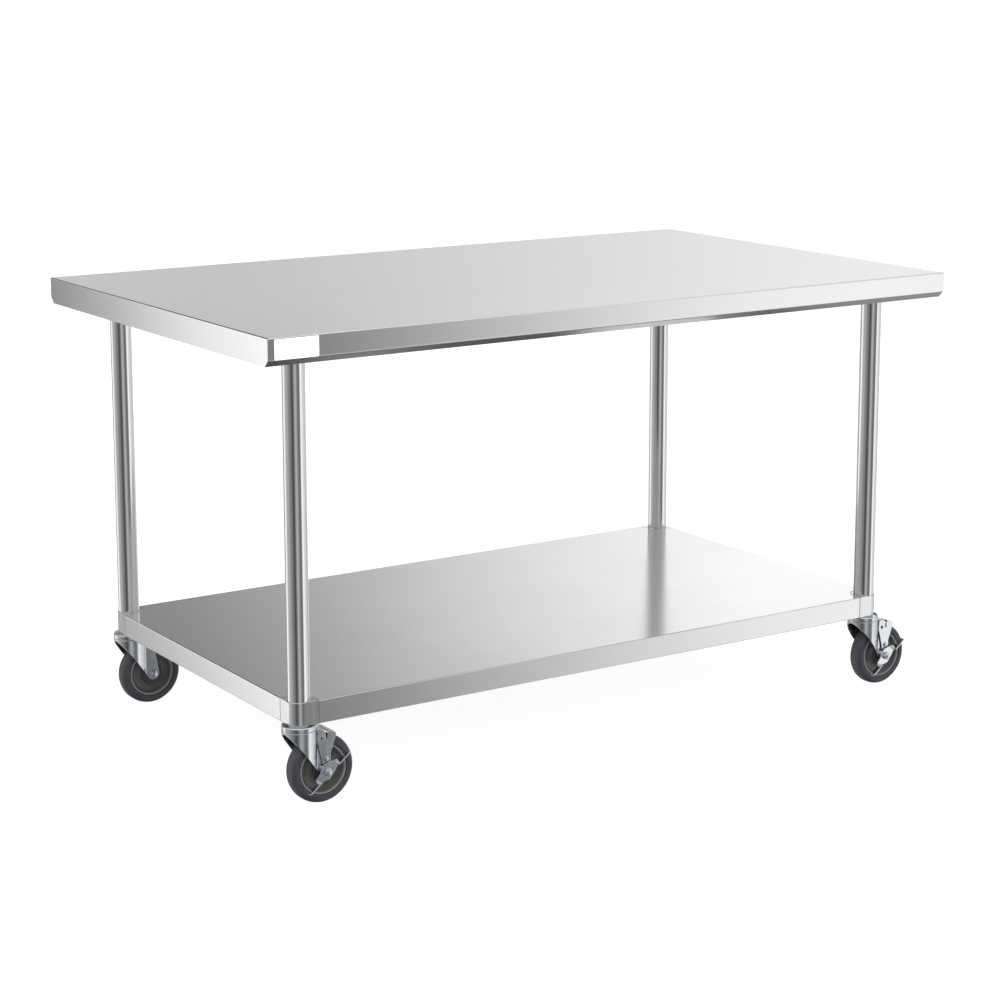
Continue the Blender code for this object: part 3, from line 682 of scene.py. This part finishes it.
def bent(mesh, radius, segments, chosen):
    """Round the edges for which chosen(first corner, second corner) holds."""
    work = bmesh.new()
    work.from_mesh(mesh)
    edges = [edge for edge in work.edges if chosen(*(vert.co for vert in edge.verts))]
    bmesh.ops.bevel(work, geom=edges, offset=radius, segments=segments, profile=0.5, affect="EDGES")
    return from_bmesh(work)


def moved(mesh, *matrices):
    """Copy of a mesh, moved by the matrices in turn."""
    copy = mesh.copy()
    for matrix in matrices:
        copy.transform(matrix)
    return copy


def shift(x=0, y=0, z=0):
    """Matrix of a shift."""
    return Matrix.Translation((x, y, z))


def flip(side_x, side_y):
    """Matrix that mirrors a mesh drawn at +X +Y into another corner."""
    return Matrix.Diagonal((side_x, side_y, 1, 1))


# Turns of a lathed piece's axis to Y, to -Y and to X
UP_TO_Y = Matrix.Rotation(-math.pi / 2, 4, "X")
UP_TO_FRONT = Matrix.Rotation(math.pi / 2, 4, "X")
UP_TO_X = Matrix.Rotation(math.pi / 2, 4, "Y")


def place_piece(name, mesh, material, body, at=(0, 0, 0), stands_for=()):
    """Piece drawn in millimetres about a point, set down there and riding on its body."""
    mesh = welded(mesh)
    mesh.transform(Matrix.Diagonal((MM, MM, MM, 1)))
    mesh.materials.clear()
    mesh.materials.append(material)
    mesh.shade_smooth()
    mesh.set_sharp_from_angle(angle=SHARP)
    obj = bpy.data.objects.new(name, mesh)
    obj.location = Vector(at) * MM
    bpy.context.scene.collection.objects.link(obj)
    even = obj.modifiers.new("even_shading", "WEIGHTED_NORMAL")
    even.keep_sharp = True
    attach(obj, body)
    if stands_for:
        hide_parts(*stands_for)
    return obj


def stand_in(node, prefix, mesh, material, at=(0, 0, 0)):
    """Detailed piece in place of a CAD node, named after it."""
    place_piece(f"{prefix}_{node}", mesh, material, BODY_OF[node], at, (node,))


def node_box(node):
    """Corners of a CAD node in millimetres."""
    low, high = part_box(node)
    return low / MM, high / MM


def middle_of(node):
    """Centre of a CAD node in plan, in millimetres."""
    low, high = node_box(node)
    return (low.x + high.x) / 2, (low.y + high.y) / 2


# Small hardware --------------------------------------------------------------------------

def hexagon(radius):
    """Corners of a hexagon."""
    return circle((0, 0), radius, 6)


def hex_body(radius, height, bore=0):
    """Hexagon along Z with turned chamfers at both ends, and a bore if asked for."""
    chamfer = radius * 0.16
    turned = lathe([
        (0, 0), (radius - chamfer, 0), (radius + 0.01, chamfer * 0.6),
        (radius + 0.01, height - chamfer * 0.6), (radius - chamfer, height), (0, height),
    ], 48)
    body = combined("INTERSECT", prism("Z", 0, height, hexagon(radius)), turned)
    if bore:
        body = combined("DIFFERENCE", body, rod("Z", bore, -1, height + 1))
    return body


def threaded(radius, low, high, pitch=1.0):
    """Profile of a threaded rod as rings of its pitch, from its axis to its axis."""
    depth = 0.3 * pitch
    count = int((high - low) / pitch)
    profile = [(0, low), (radius - 2 * depth, low)]
    for i in range(count):
        start = low + (high - low) * (i + 0.25) / count
        profile += [(radius - depth, start), (radius, start + 0.3 * pitch)]
    return profile + [(radius - 2 * depth, high), (0, high)]


def grub_screw(radius, length):
    """Set screw along Z from 0, with a hexagon socket in its upper end."""
    body = lathe(threaded(radius, 0, length), 24)
    return combined("DIFFERENCE", body, prism("Z", length - 3.5, length + 1, hexagon(radius * 0.55)))


def stud_and_nut(length):
    """Threaded stud hanging down from 0, with a washer and a hexagon nut."""
    stud = lathe(threaded(2.9, -length, -0.1), 20)
    washer = lathe(softened([(3, -0.2), (6.2, -0.2), (6.2, -1.3), (3, -1.3)], 0.3), 32, loop=True)
    nut = moved(hex_body(5.6, 4.2, bore=3.0), shift(z=-5.6))
    return joined(stud, washer, nut)


# Top and its frame -----------------------------------------------------------------------

def fold_section(half, top, inset, drop=0):
    """(y, z) section of the top, moved inwards by inset and run on below the fold by drop."""
    slope = (TOP_SKIRT - TOP_FACE) / TOP_RETURN
    long_side = math.hypot(1, slope)
    start = top - TOP_FACE + inset * (long_side - slope)
    end = half - TOP_RETURN - inset * long_side / slope
    bottom = top - TOP_SKIRT
    right = [(end, bottom), (half - inset, start), (half - inset, top - inset)]
    if drop:
        right.insert(0, (end, bottom - drop))
    return right + [(-y, z) for y, z in reversed(right)]


def worktop():
    """Folded top with rounded bends, a return fold along each side and a hem at each end."""
    _, high = node_box("worktop")
    half_x, half_y, top = high.x, high.y, high.z
    bottom = top - TOP_SKIRT
    outer = prism("X", -half_x, half_x, fold_section(half_y, top, 0))
    outer = bent(outer, TOP_BEND, 5, lambda a, b: max(a.z, b.z) > bottom + 1)
    inner = fold_section(half_y, top, TOP_SHEET, drop=10)
    cavity = prism("X", TOP_SHEET - half_x, half_x - TOP_SHEET, inner)
    hem_floor = box((-half_x, -half_y, bottom - 20), (half_x, half_y, bottom + TOP_SHEET))
    upper = combined("DIFFERENCE", cavity, hem_floor)
    mouth = prism("X", TOP_HEM - half_x, half_x - TOP_HEM, inner)
    sheet = combined("DIFFERENCE", outer, upper, mouth)
    stand_in("worktop", "folded", sheet, TOP_STEEL)


def label():
    """Blank label with rounded corners on the front edge."""
    low, high = node_box("front_label")
    corners = [(low.x, low.z), (high.x, low.z), (high.x, high.z), (low.x, high.z)]
    sticker = stamped("Y", low.y, high.y, softened(corners, 1.6, 6), rim=0.08)
    stand_in("front_label", "blank", sticker, VINYL)


def hat_section(depth):
    """Closed outline of a hat section with rounded bends, its flanges' upper side at 0."""
    web, edge = HAT_WEB / 2, HAT_WEB / 2 + HAT_FLANGE
    path = [(-edge, 0), (-web, 0), (-web, -depth), (web, -depth), (web, 0), (edge, 0)]
    path = [Vector(p) for p in softened(path, HAT_BEND, closed=False)]
    sides = ([], [])
    for i, point in enumerate(path):
        along = (path[min(i + 1, len(path) - 1)] - path[max(i - 1, 0)]).normalized()
        across = Vector((-along.y, along.x)) * (HAT_SHEET / 2)
        sides[0].append(tuple(point + across - Vector((0, HAT_SHEET / 2))))
        sides[1].append(tuple(point - across - Vector((0, HAT_SHEET / 2))))
    return sides[0] + sides[1][::-1]


def channels():
    """Hat channels under the top and the shelf, each hung on studs with nuts."""
    for node in ("channel_front", "channel_rear", "channel_cross", "shelf_channel"):
        low, high = node_box(node)
        along_x = high.x - low.x > high.y - low.y
        length = max(high.x - low.x, high.y - low.y)
        depth = high.z - low.z - HAT_SHEET
        turn = Matrix.Identity(4) if along_x else Matrix.Rotation(math.pi / 2, 4, "Z")
        centre = (*middle_of(node), high.z)
        section = prism("X", -length / 2, length / 2, hat_section(depth))
        stand_in(node, "folded", moved(section, turn), GALVANISED, centre)
        reach, flange = length / 2 - STUD_INSET, (HAT_WEB + HAT_FLANGE) / 2
        nuts = []
        for across in (-flange, flange):
            for along in (-reach, 0, reach):
                nuts.append(moved(stud_and_nut(8), shift(along, across, -HAT_SHEET), turn))
        place_piece(f"studs_{node}", joined(*nuts), STEEL, BODY_OF[node], centre)


def sockets_and_legs():
    """Flanged sockets with a set screw each, and the tube legs in them."""
    low, high = node_box("leg_socket_fl")
    depth = high.z - low.z
    bore = LEG_RADIUS + GAP
    collar = bore + SOCKET_WALL
    flange = (high.x - low.x) / 2
    wall = softened([
        (flange, 0), (flange, -3), (collar + 2.5, -14), (collar, -18), (collar, -depth),
        (bore, -depth),
    ], 1.2, closed=False)
    socket = lathe([(0, 0), *wall, (bore, -3.2), (0, -3.2)], 64)
    tapped = rod("X", SCREW_RADIUS + GAP, 0, 2 * collar, at=(0, -SOCKET_SCREW_DROP), sides=32)
    socket = combined("DIFFERENCE", socket, tapped)
    screw_place = shift(LEG_RADIUS + GAP, 0, -SOCKET_SCREW_DROP)
    screw = moved(grub_screw(SCREW_RADIUS, 8), UP_TO_X, screw_place)

    leg_low, leg_high = node_box("leg_fl")
    inside = LEG_RADIUS - LEG_WALL
    tube = lathe(softened([
        (LEG_RADIUS, leg_high.z), (LEG_RADIUS, leg_low.z), (inside, leg_low.z), (inside, leg_high.z),
    ], 0.4, 3), 96, loop=True)
    for corner, (side_x, _) in CORNERS.items():
        place = middle_of(f"leg_{corner}")
        top = (*place, high.z)
        stand_in(f"leg_{corner}", "tube", tube, TUBE_STEEL, (*place, 0))
        turned, held = moved(socket, flip(-side_x, 1)), moved(screw, flip(-side_x, 1))
        stand_in(f"leg_socket_{corner}", "spun", turned, SOCKET_STEEL, top)
        body = BODY_OF[f"leg_socket_{corner}"]
        place_piece(f"socket_screw_{corner}", held, STEEL, body, top)


# Undershelf ------------------------------------------------------------------------------

def clamp_outline(inset, grow, corner):
    """Plan of a corner clamp about its leg, grown all round; corner closes it at -X -Y."""
    outer = inset + grow
    end = CLAMP_LEG_LENGTH - inset + grow
    inward = CLAMP_DEPTH - inset + grow
    ring = CLAMP_RING + grow
    meet = math.degrees(math.asin(inward / ring))
    return (
        [(end, -outer), (end, inward)]
        + arc((0, 0), ring, meet, 90 - meet, 16)
        + [(inward, end), (-outer, end)]
        + corner
    )


def undershelf():
    """Shelf sheet with rounded bends, aprons and hems, notched round the four clamps."""
    low, high = node_box("undershelf")
    leg_x, leg_y = middle_of("leg_rr")
    half_x, half_y = high.x, high.y
    low_z, high_z = low.z, high.z
    shelf = bent(
        box((-half_x, -half_y, low_z), (half_x, half_y, high_z)), SHELF_BEND, 5,
        lambda a, b: abs(a.z - b.z) < 1,
    )
    in_x, in_y = half_x - SHELF_SHEET, half_y - SHELF_SHEET
    cavity = box((-in_x, -in_y, low_z + SHELF_SHEET), (in_x, in_y, high_z - SHELF_SHEET))
    open_x, open_y = half_x - SHELF_HEM, half_y - SHELF_HEM
    opening = box((-open_x, -open_y, low_z - 1), (open_x, open_y, low_z + 2))
    beyond = -2 * (half_x - leg_x) - CLAMP_LEG_LENGTH
    notch_plan = clamp_outline(half_x - leg_x, CLAMP_GAP, [(beyond, beyond)])
    notch = prism("Z", low_z - 1, high_z + 1, notch_plan)
    start = CLAMP_LEG_LENGTH - (half_x - leg_x) + CLAMP_GAP
    outer, inner = leg_x - half_x, CLAMP_DEPTH - (half_x - leg_x)
    end_walls = (
        box((start, outer, low_z - 2), (start + SHELF_SHEET, inner, high_z)),
        box((outer, start, low_z - 2), (inner, start + SHELF_SHEET, high_z)),
    )
    notches, walls = [], []
    for side_x, side_y in CORNERS.values():
        turn = (flip(-side_x, -side_y), shift(side_x * leg_x, side_y * leg_y))
        notches.append(welded(moved(notch, *turn)))
        walls += [welded(moved(wall, *turn)) for wall in end_walls]
    cavity = combined("DIFFERENCE", cavity, *walls)
    opening = combined("DIFFERENCE", opening, *walls)
    shelf = combined("DIFFERENCE", shelf, cavity, opening, *notches)
    stand_in("undershelf", "folded", shelf, SHELF_STEEL)


def clamps():
    """Cast corner clamps with rounded rims, each with its tab, stud, nut and set screw."""
    low, high = node_box("shelf_clamp_rr")
    _, shelf_high = node_box("undershelf")
    leg_x, _ = middle_of("leg_rr")
    inset = shelf_high.x - leg_x
    tab_top = shelf_high.z - SHELF_SHEET - GAP
    diagonal = Matrix.Rotation(math.pi / 4, 4, "Z")
    plan = clamp_outline(inset, 0, arc((0, 0), inset, 180, 270, 20))
    bore = circle((0, 0), LEG_RADIUS + GAP, 72)
    casting = stamped("Z", low.z, high.z, plan, (bore,), rim=0.7)
    root, end, half = CLAMP_RING - 1.5, CLAMP_RING + CLAMP_TAB_LENGTH, CLAMP_TAB_HALF_WIDTH
    tab_plan = softened([(root, -half), (end, -half), (end, half), (root, half)], 4, 6)
    tab_base = tab_top - CLAMP_TAB_SHEET
    tab = moved(stamped("Z", tab_base, tab_top, tab_plan, rim=0.3), diagonal)
    tapped = rod("X", SCREW_RADIUS + GAP, 0, 2 * CLAMP_RING, at=(0, CLAMP_SCREW_HEIGHT), sides=32)
    casting = combined("DIFFERENCE", combined("UNION", casting, tab), moved(tapped, diagonal))
    screw_place = shift(LEG_RADIUS + GAP, 0, CLAMP_SCREW_HEIGHT)
    screw = moved(grub_screw(SCREW_RADIUS, 9), UP_TO_X, screw_place, diagonal)
    nut_place = shift(CLAMP_RING + CLAMP_TAB_LENGTH * 0.6, 0, tab_base)
    nut = moved(stud_and_nut(9), nut_place, diagonal)
    for corner, (side_x, side_y) in CORNERS.items():
        place = (*middle_of(f"leg_{corner}"), 0)
        turn = flip(-side_x, -side_y)
        body = BODY_OF[f"shelf_clamp_{corner}"]
        stand_in(f"shelf_clamp_{corner}", "cast", moved(casting, turn), CASTING, place)
        stand_in(f"set_screw_{corner}", "socketed", moved(screw, turn), STEEL, place)
        place_piece(f"clamp_nut_{corner}", moved(nut, turn), STEEL, body, place)


# Casters: drawn about the point on the floor under the swivel axis ------------------------

def raceway():
    """Pressed raceway cup with a rolled rim, its threaded stem above and its kingpin below."""
    underside = CROWN_TOP + 5
    head = CROWN_TOP - FORK_SHEET - GAP
    cup = softened([
        (STEM_RADIUS, CUP_TOP), (CROWN_RADIUS - 3.6, CUP_TOP), (CROWN_RADIUS - 2.6, 151.4),
        (CROWN_RADIUS - 1, 151.4), (CROWN_RADIUS, 150), (CROWN_RADIUS, CROWN_TOP + GAP),
        (CROWN_RADIUS - 2.5, CROWN_TOP + GAP),
        (CROWN_RADIUS - 3, underside), (KINGPIN_RADIUS, underside), (KINGPIN_RADIUS, head),
        (9.5, head), (8.5, head - 3), (0, head - 3),
    ], 1.0, closed=False)
    stem = threaded(STEM_RADIUS, CUP_TOP, STEM_TOP, 1.5)[::-1]
    return lathe(stem[:-2] + cup[1:], 96)


def bearing_balls():
    """Ring of balls between the raceway and the fork."""
    work = bmesh.new()
    for k in range(BALL_COUNT):
        angle = 2 * math.pi * k / BALL_COUNT
        across, along = BALL_RING * math.cos(angle), BALL_RING * math.sin(angle)
        place = shift(across, along, CROWN_TOP + BALL_LIFT)
        bmesh.ops.create_icosphere(work, subdivisions=2, radius=BALL_RADIUS, matrix=place)
    return from_bmesh(work)


def fork_plan(inset, rear):
    """Plan of the fork: a round crown whose two cheeks run back to rear."""
    radius, half = CROWN_RADIUS - inset, FORK_HALF_WIDTH - inset
    meet = math.degrees(math.asin(half / radius))
    return softened(
        [(rear, half)] + arc((0, 0), radius, meet, 360 - meet, 64) + [(rear, -half)], 5 - inset
    )


def tangent_angle(point, centre, radius, side):
    """Angle on a circle, in degrees, where a line from an outside point touches it."""
    across, up = point[0] - centre[0], point[1] - centre[1]
    swing = math.acos(radius / math.hypot(across, up))
    return math.degrees(math.atan2(up, across) + side * swing)


def fork_side():
    """Side view of the fork: an oblique leading edge, a round eye and a leaning trailing edge."""
    axle = (TRAIL, WHEEL_RADIUS)
    front = (-CROWN_RADIUS, CROWN_TOP - 3)
    back = (44.5, 112)
    first = tangent_angle(back, axle, FORK_EYE_RADIUS, -1)
    last = tangent_angle(front, axle, FORK_EYE_RADIUS, 1) - 360
    over = CROWN_TOP + 1
    return (
        [(front[0] - 1, over), (36, over), (36, CROWN_TOP - 3), back]
        + arc(axle, FORK_EYE_RADIUS, first, last, 28)
        + [front, (front[0] - 1, front[1])]
    )


def fork(braked):
    """Pressed fork: a rounded crown and skirt in one with the two cheeks."""
    low, rear = WHEEL_RADIUS - 2 * FORK_EYE_RADIUS, TRAIL + 2 * FORK_EYE_RADIUS
    outer = prism("Z", low, CROWN_TOP, fork_plan(0, rear))
    outer = bent(outer, 1.2, 4, lambda a, b: min(a.z, b.z) > CROWN_TOP - 0.1)
    hollow = prism("Z", low - 1, CROWN_TOP - FORK_SHEET, fork_plan(FORK_SHEET, rear + 1))
    side = prism("Y", -CROWN_RADIUS - 1, CROWN_RADIUS + 1, fork_side())
    body = combined("INTERSECT", combined("DIFFERENCE", outer, hollow), side)
    wide = CROWN_RADIUS + 1
    holes = [
        rod("Z", KINGPIN_RADIUS + GAP, CROWN_TOP - 2 * FORK_SHEET, CROWN_TOP + 1),
        rod("Y", AXLE_RADIUS + GAP, -wide, wide, at=(TRAIL, WHEEL_RADIUS)),
    ]
    if braked:
        holes.append(rod("Y", PIVOT_RADIUS + GAP, -wide, 0, at=BRAKE_PIVOT, sides=32))
    return combined("DIFFERENCE", body, *holes)


def axle_hardware(nut_face):
    """Bolt with its head at the back, and a nut at nut_face in front with a collar beyond it."""
    shank = lathe(threaded(AXLE_RADIUS, -FORK_HALF_WIDTH, nut_face + 7.5, 1.25), 32)
    head = moved(hex_body(HEX_RADIUS, 5.4), shift(z=-FORK_HALF_WIDTH - GAP - 5.4))
    nut = moved(hex_body(HEX_RADIUS, 5, bore=AXLE_RADIUS), shift(z=nut_face + 0.1))
    collar = lathe(softened([
        (AXLE_RADIUS, nut_face + 5), (HEX_RADIUS - 1.6, nut_face + 5),
        (HEX_RADIUS - 2.2, nut_face + 6), (AXLE_RADIUS, nut_face + 6),
    ], 0.4), 40, loop=True)
    return moved(joined(shank, head, nut, collar), UP_TO_FRONT)


def both_sides(half):
    """Whole profile of a symmetrical ring from its upper half."""
    return half + [(radius, -width) for radius, width in reversed(half)]


def hub():
    """Moulded wheel centre: a rim bead, a dished web and a boss."""
    half = [
        (RIM_RADIUS - GAP, RIM_HALF_WIDTH), (43.4, RIM_HALF_WIDTH), (41.4, 9.5), (38, 6.0),
        (30, 5.2), (24.5, 6.6), (22.0, 10.5), (21.5, 14.5), (7.9, 14.5),
    ]
    return moved(lathe(softened(both_sides(half), 1.6, 5), 96, loop=True), UP_TO_Y)


def thread_guard():
    """Dark dished disc on each side of the hub, just inside the fork's cheek."""
    profile = softened([
        (GUARD_RADIUS, RIM_HALF_WIDTH), (GUARD_RADIUS, 17.2), (GUARD_RADIUS - 2.5, 18.5),
        (9.5, 18.5), (8.5, RIM_HALF_WIDTH),
    ], 1.0, 4)
    ring = lathe(profile, 80, loop=True)
    mirrored = moved(ring, Matrix.Diagonal((1, 1, -1, 1)), UP_TO_Y)
    return joined(moved(ring, UP_TO_Y), welded(mirrored))


def tyre():
    """Rubber tyre: a crowned tread, round shoulders and a shallow groove in each side."""
    half = [
        (WHEEL_RADIUS, 0), (WHEEL_RADIUS - 0.1, 5), (WHEEL_RADIUS - 1.6, 10.5),
        (WHEEL_RADIUS - 6, 15.2), (55.2, 16), (54.2, 15.3), (53.2, 16), (RIM_RADIUS + 2, 15.8),
        (RIM_RADIUS, RIM_HALF_WIDTH),
    ]
    whole = half + [(radius, -width) for radius, width in reversed(half[1:])]
    return moved(lathe(softened(whole, 2.4, 5), 128, loop=True), UP_TO_Y)


def brake_lever():
    """Rocking lever: a bowed blade, a round cam boss, and a foot tab bent out at each end."""
    inner, outer = -LEVER_INNER, -LEVER_INNER - LEVER_SHEET
    bow = [
        (28, -4.5), (28, 3), (6, 14.5), (-11, 8), (-28, 4.5), (-28, -3), (-6, -14.5), (11, -10.5),
    ]
    axle_hole = circle((0, 0), AXLE_RADIUS + GAP, 32)
    blade = stamped("Y", outer, inner, softened(bow, 7, 8), (axle_hole,), rim=0.5)
    tabs = []
    for low, high, under, over in ((22, 52, -4.5, -2.3), (-52, -22, -3, -0.8)):
        far, near = outer - LEVER_TAB_WIDTH, inner - 0.2
        corners = [(low, far), (high, far), (high, near), (low, near)]
        tabs.append(stamped("Z", under, over, softened(corners, 2.2, 5), rim=0.5))
    boss = lathe(softened([
        (AXLE_RADIUS + GAP, FORK_HALF_WIDTH + GAP), (10.5, FORK_HALF_WIDTH + GAP),
        (10.5, LEVER_INNER + 0.2), (AXLE_RADIUS + GAP, LEVER_INNER + 0.2),
    ], 0.4), 64, loop=True)
    lever = combined("UNION", blade, *tabs, moved(boss, UP_TO_FRONT))
    return moved(lever, Matrix.Rotation(-LEVER_TILT, 4, "Y"))


def brake_arm():
    """Brake arm: a side plate with a hooked slot and an eye, and a bridge over the tread."""
    inner, outer = -ARM_INNER, -ARM_INNER - ARM_SHEET
    outline = [
        (-7.5, -9.5), (6.5, -9.5), (9.5, -4), (8.8, 8), (15, 25), (21.5, 44),
        (17.5, 48), (6.5, 51), (2.8, 47), (3, 37), (0.3, 36.2), (-0.7, 48), (-3.5, 54.2), (-17, 53.5),
        (-17.8, 33.5), (-15, 25), (-9.5, 2),
    ]
    holes = (circle((0, 0), PIVOT_RADIUS + GAP, 32), circle((-9.5, 38.5), 3.2, 32))
    side = stamped("Y", outer, inner, softened(outline, 2.5, 5), holes, rim=0.35)
    bridge_outline = [(4.5, 51.5), (17.5, 48), (21.5, 44), (21, 40), (14.5, 42.6), (5, 48.8)]
    bridge = stamped("Y", inner - 1, ARM_INNER, softened(bridge_outline, 1.0, 4), rim=0.35)
    return combined("UNION", side, bridge)


def brake_rivet():
    """Domed rivet that the brake arm turns on."""
    face, inside = ARM_INNER + ARM_SHEET + GAP, FORK_HALF_WIDTH - FORK_SHEET
    head, sunk, flatness = 5.2, 1.2, 0.3
    dome = arc((0, face - sunk), 5.6, 12, 90, 8)[:-1]
    profile = [(0, inside), (PIVOT_RADIUS, inside), (PIVOT_RADIUS, face), (head, face)]
    for radius, height in dome:
        if radius < head:
            profile.append((radius, face + (height - face + sunk) * flatness))
    profile.append((0, face + 1.6))
    return moved(lathe(profile, 40), UP_TO_FRONT)


def casters():
    """Every caster's pieces, on the bodies of its swivel, wheel, lever and arm."""
    cup, balls = raceway(), bearing_balls()
    centre, guard, rubber = hub(), thread_guard(), tyre()
    lever, arm, rivet = brake_lever(), brake_arm(), brake_rivet()
    forks = {braked: fork(braked) for braked in (True, False)}
    bolts = {
        True: axle_hardware(LEVER_INNER + LEVER_SHEET + GAP),
        False: axle_hardware(FORK_HALF_WIDTH + GAP),
    }
    for corner in CORNERS:
        braked = corner in BRAKED
        x, y = middle_of(f"leg_{corner}")
        foot, axle = (x, y, 0), (x + TRAIL, y, WHEEL_RADIUS)
        swivel, wheel = BODY_OF[f"fork_{corner}"], BODY_OF[f"hub_{corner}"]
        stand_in(f"raceway_{corner}", "pressed", cup, ZINC, foot)
        place_piece(f"bearing_balls_{corner}", balls, STEEL, swivel, foot)
        stand_in(f"fork_{corner}", "pressed", forks[braked], ZINC, foot)
        stand_in(f"axle_bolt_{corner}", "plated", bolts[braked], ZINC_DULL, axle)
        stand_in(f"hub_{corner}", "moulded", centre, HUB_PLASTIC, axle)
        place_piece(f"thread_guard_{corner}", guard, GUARD_PLASTIC, wheel, axle)
        stand_in(f"tyre_{corner}", "moulded", rubber, RUBBER, axle)
        if braked:
            pivot = (x + BRAKE_PIVOT[0], y, BRAKE_PIVOT[1])
            stand_in(f"brake_lever_{corner}", "stamped", lever, ZINC_DULL, axle)
            stand_in(f"brake_arm_{corner}", "stamped", arm, ZINC_DULL, pivot)
            stand_in(f"brake_pin_{corner}", "domed", rivet, STEEL, pivot)


def finish_kept_nodes():
    """Give the CAD nodes that stay in view their own procedural material."""
    for corner in CORNERS:
        for node, material in (("stem_sleeve", SLEEVE_RUBBER), ("wheel_bushing", STEEL)):
            kept = frame["nodes"][f"{node}_{corner}"]
            for slot in kept.material_slots:
                slot.material = material


bpy.context.scene.view_settings.view_transform = "Standard"
make_camera()
make_world()
make_floor()
make_lights()
worktop()
label()
channels()
sockets_and_legs()
undershelf()
clamps()
casters()
finish_kept_nodes()
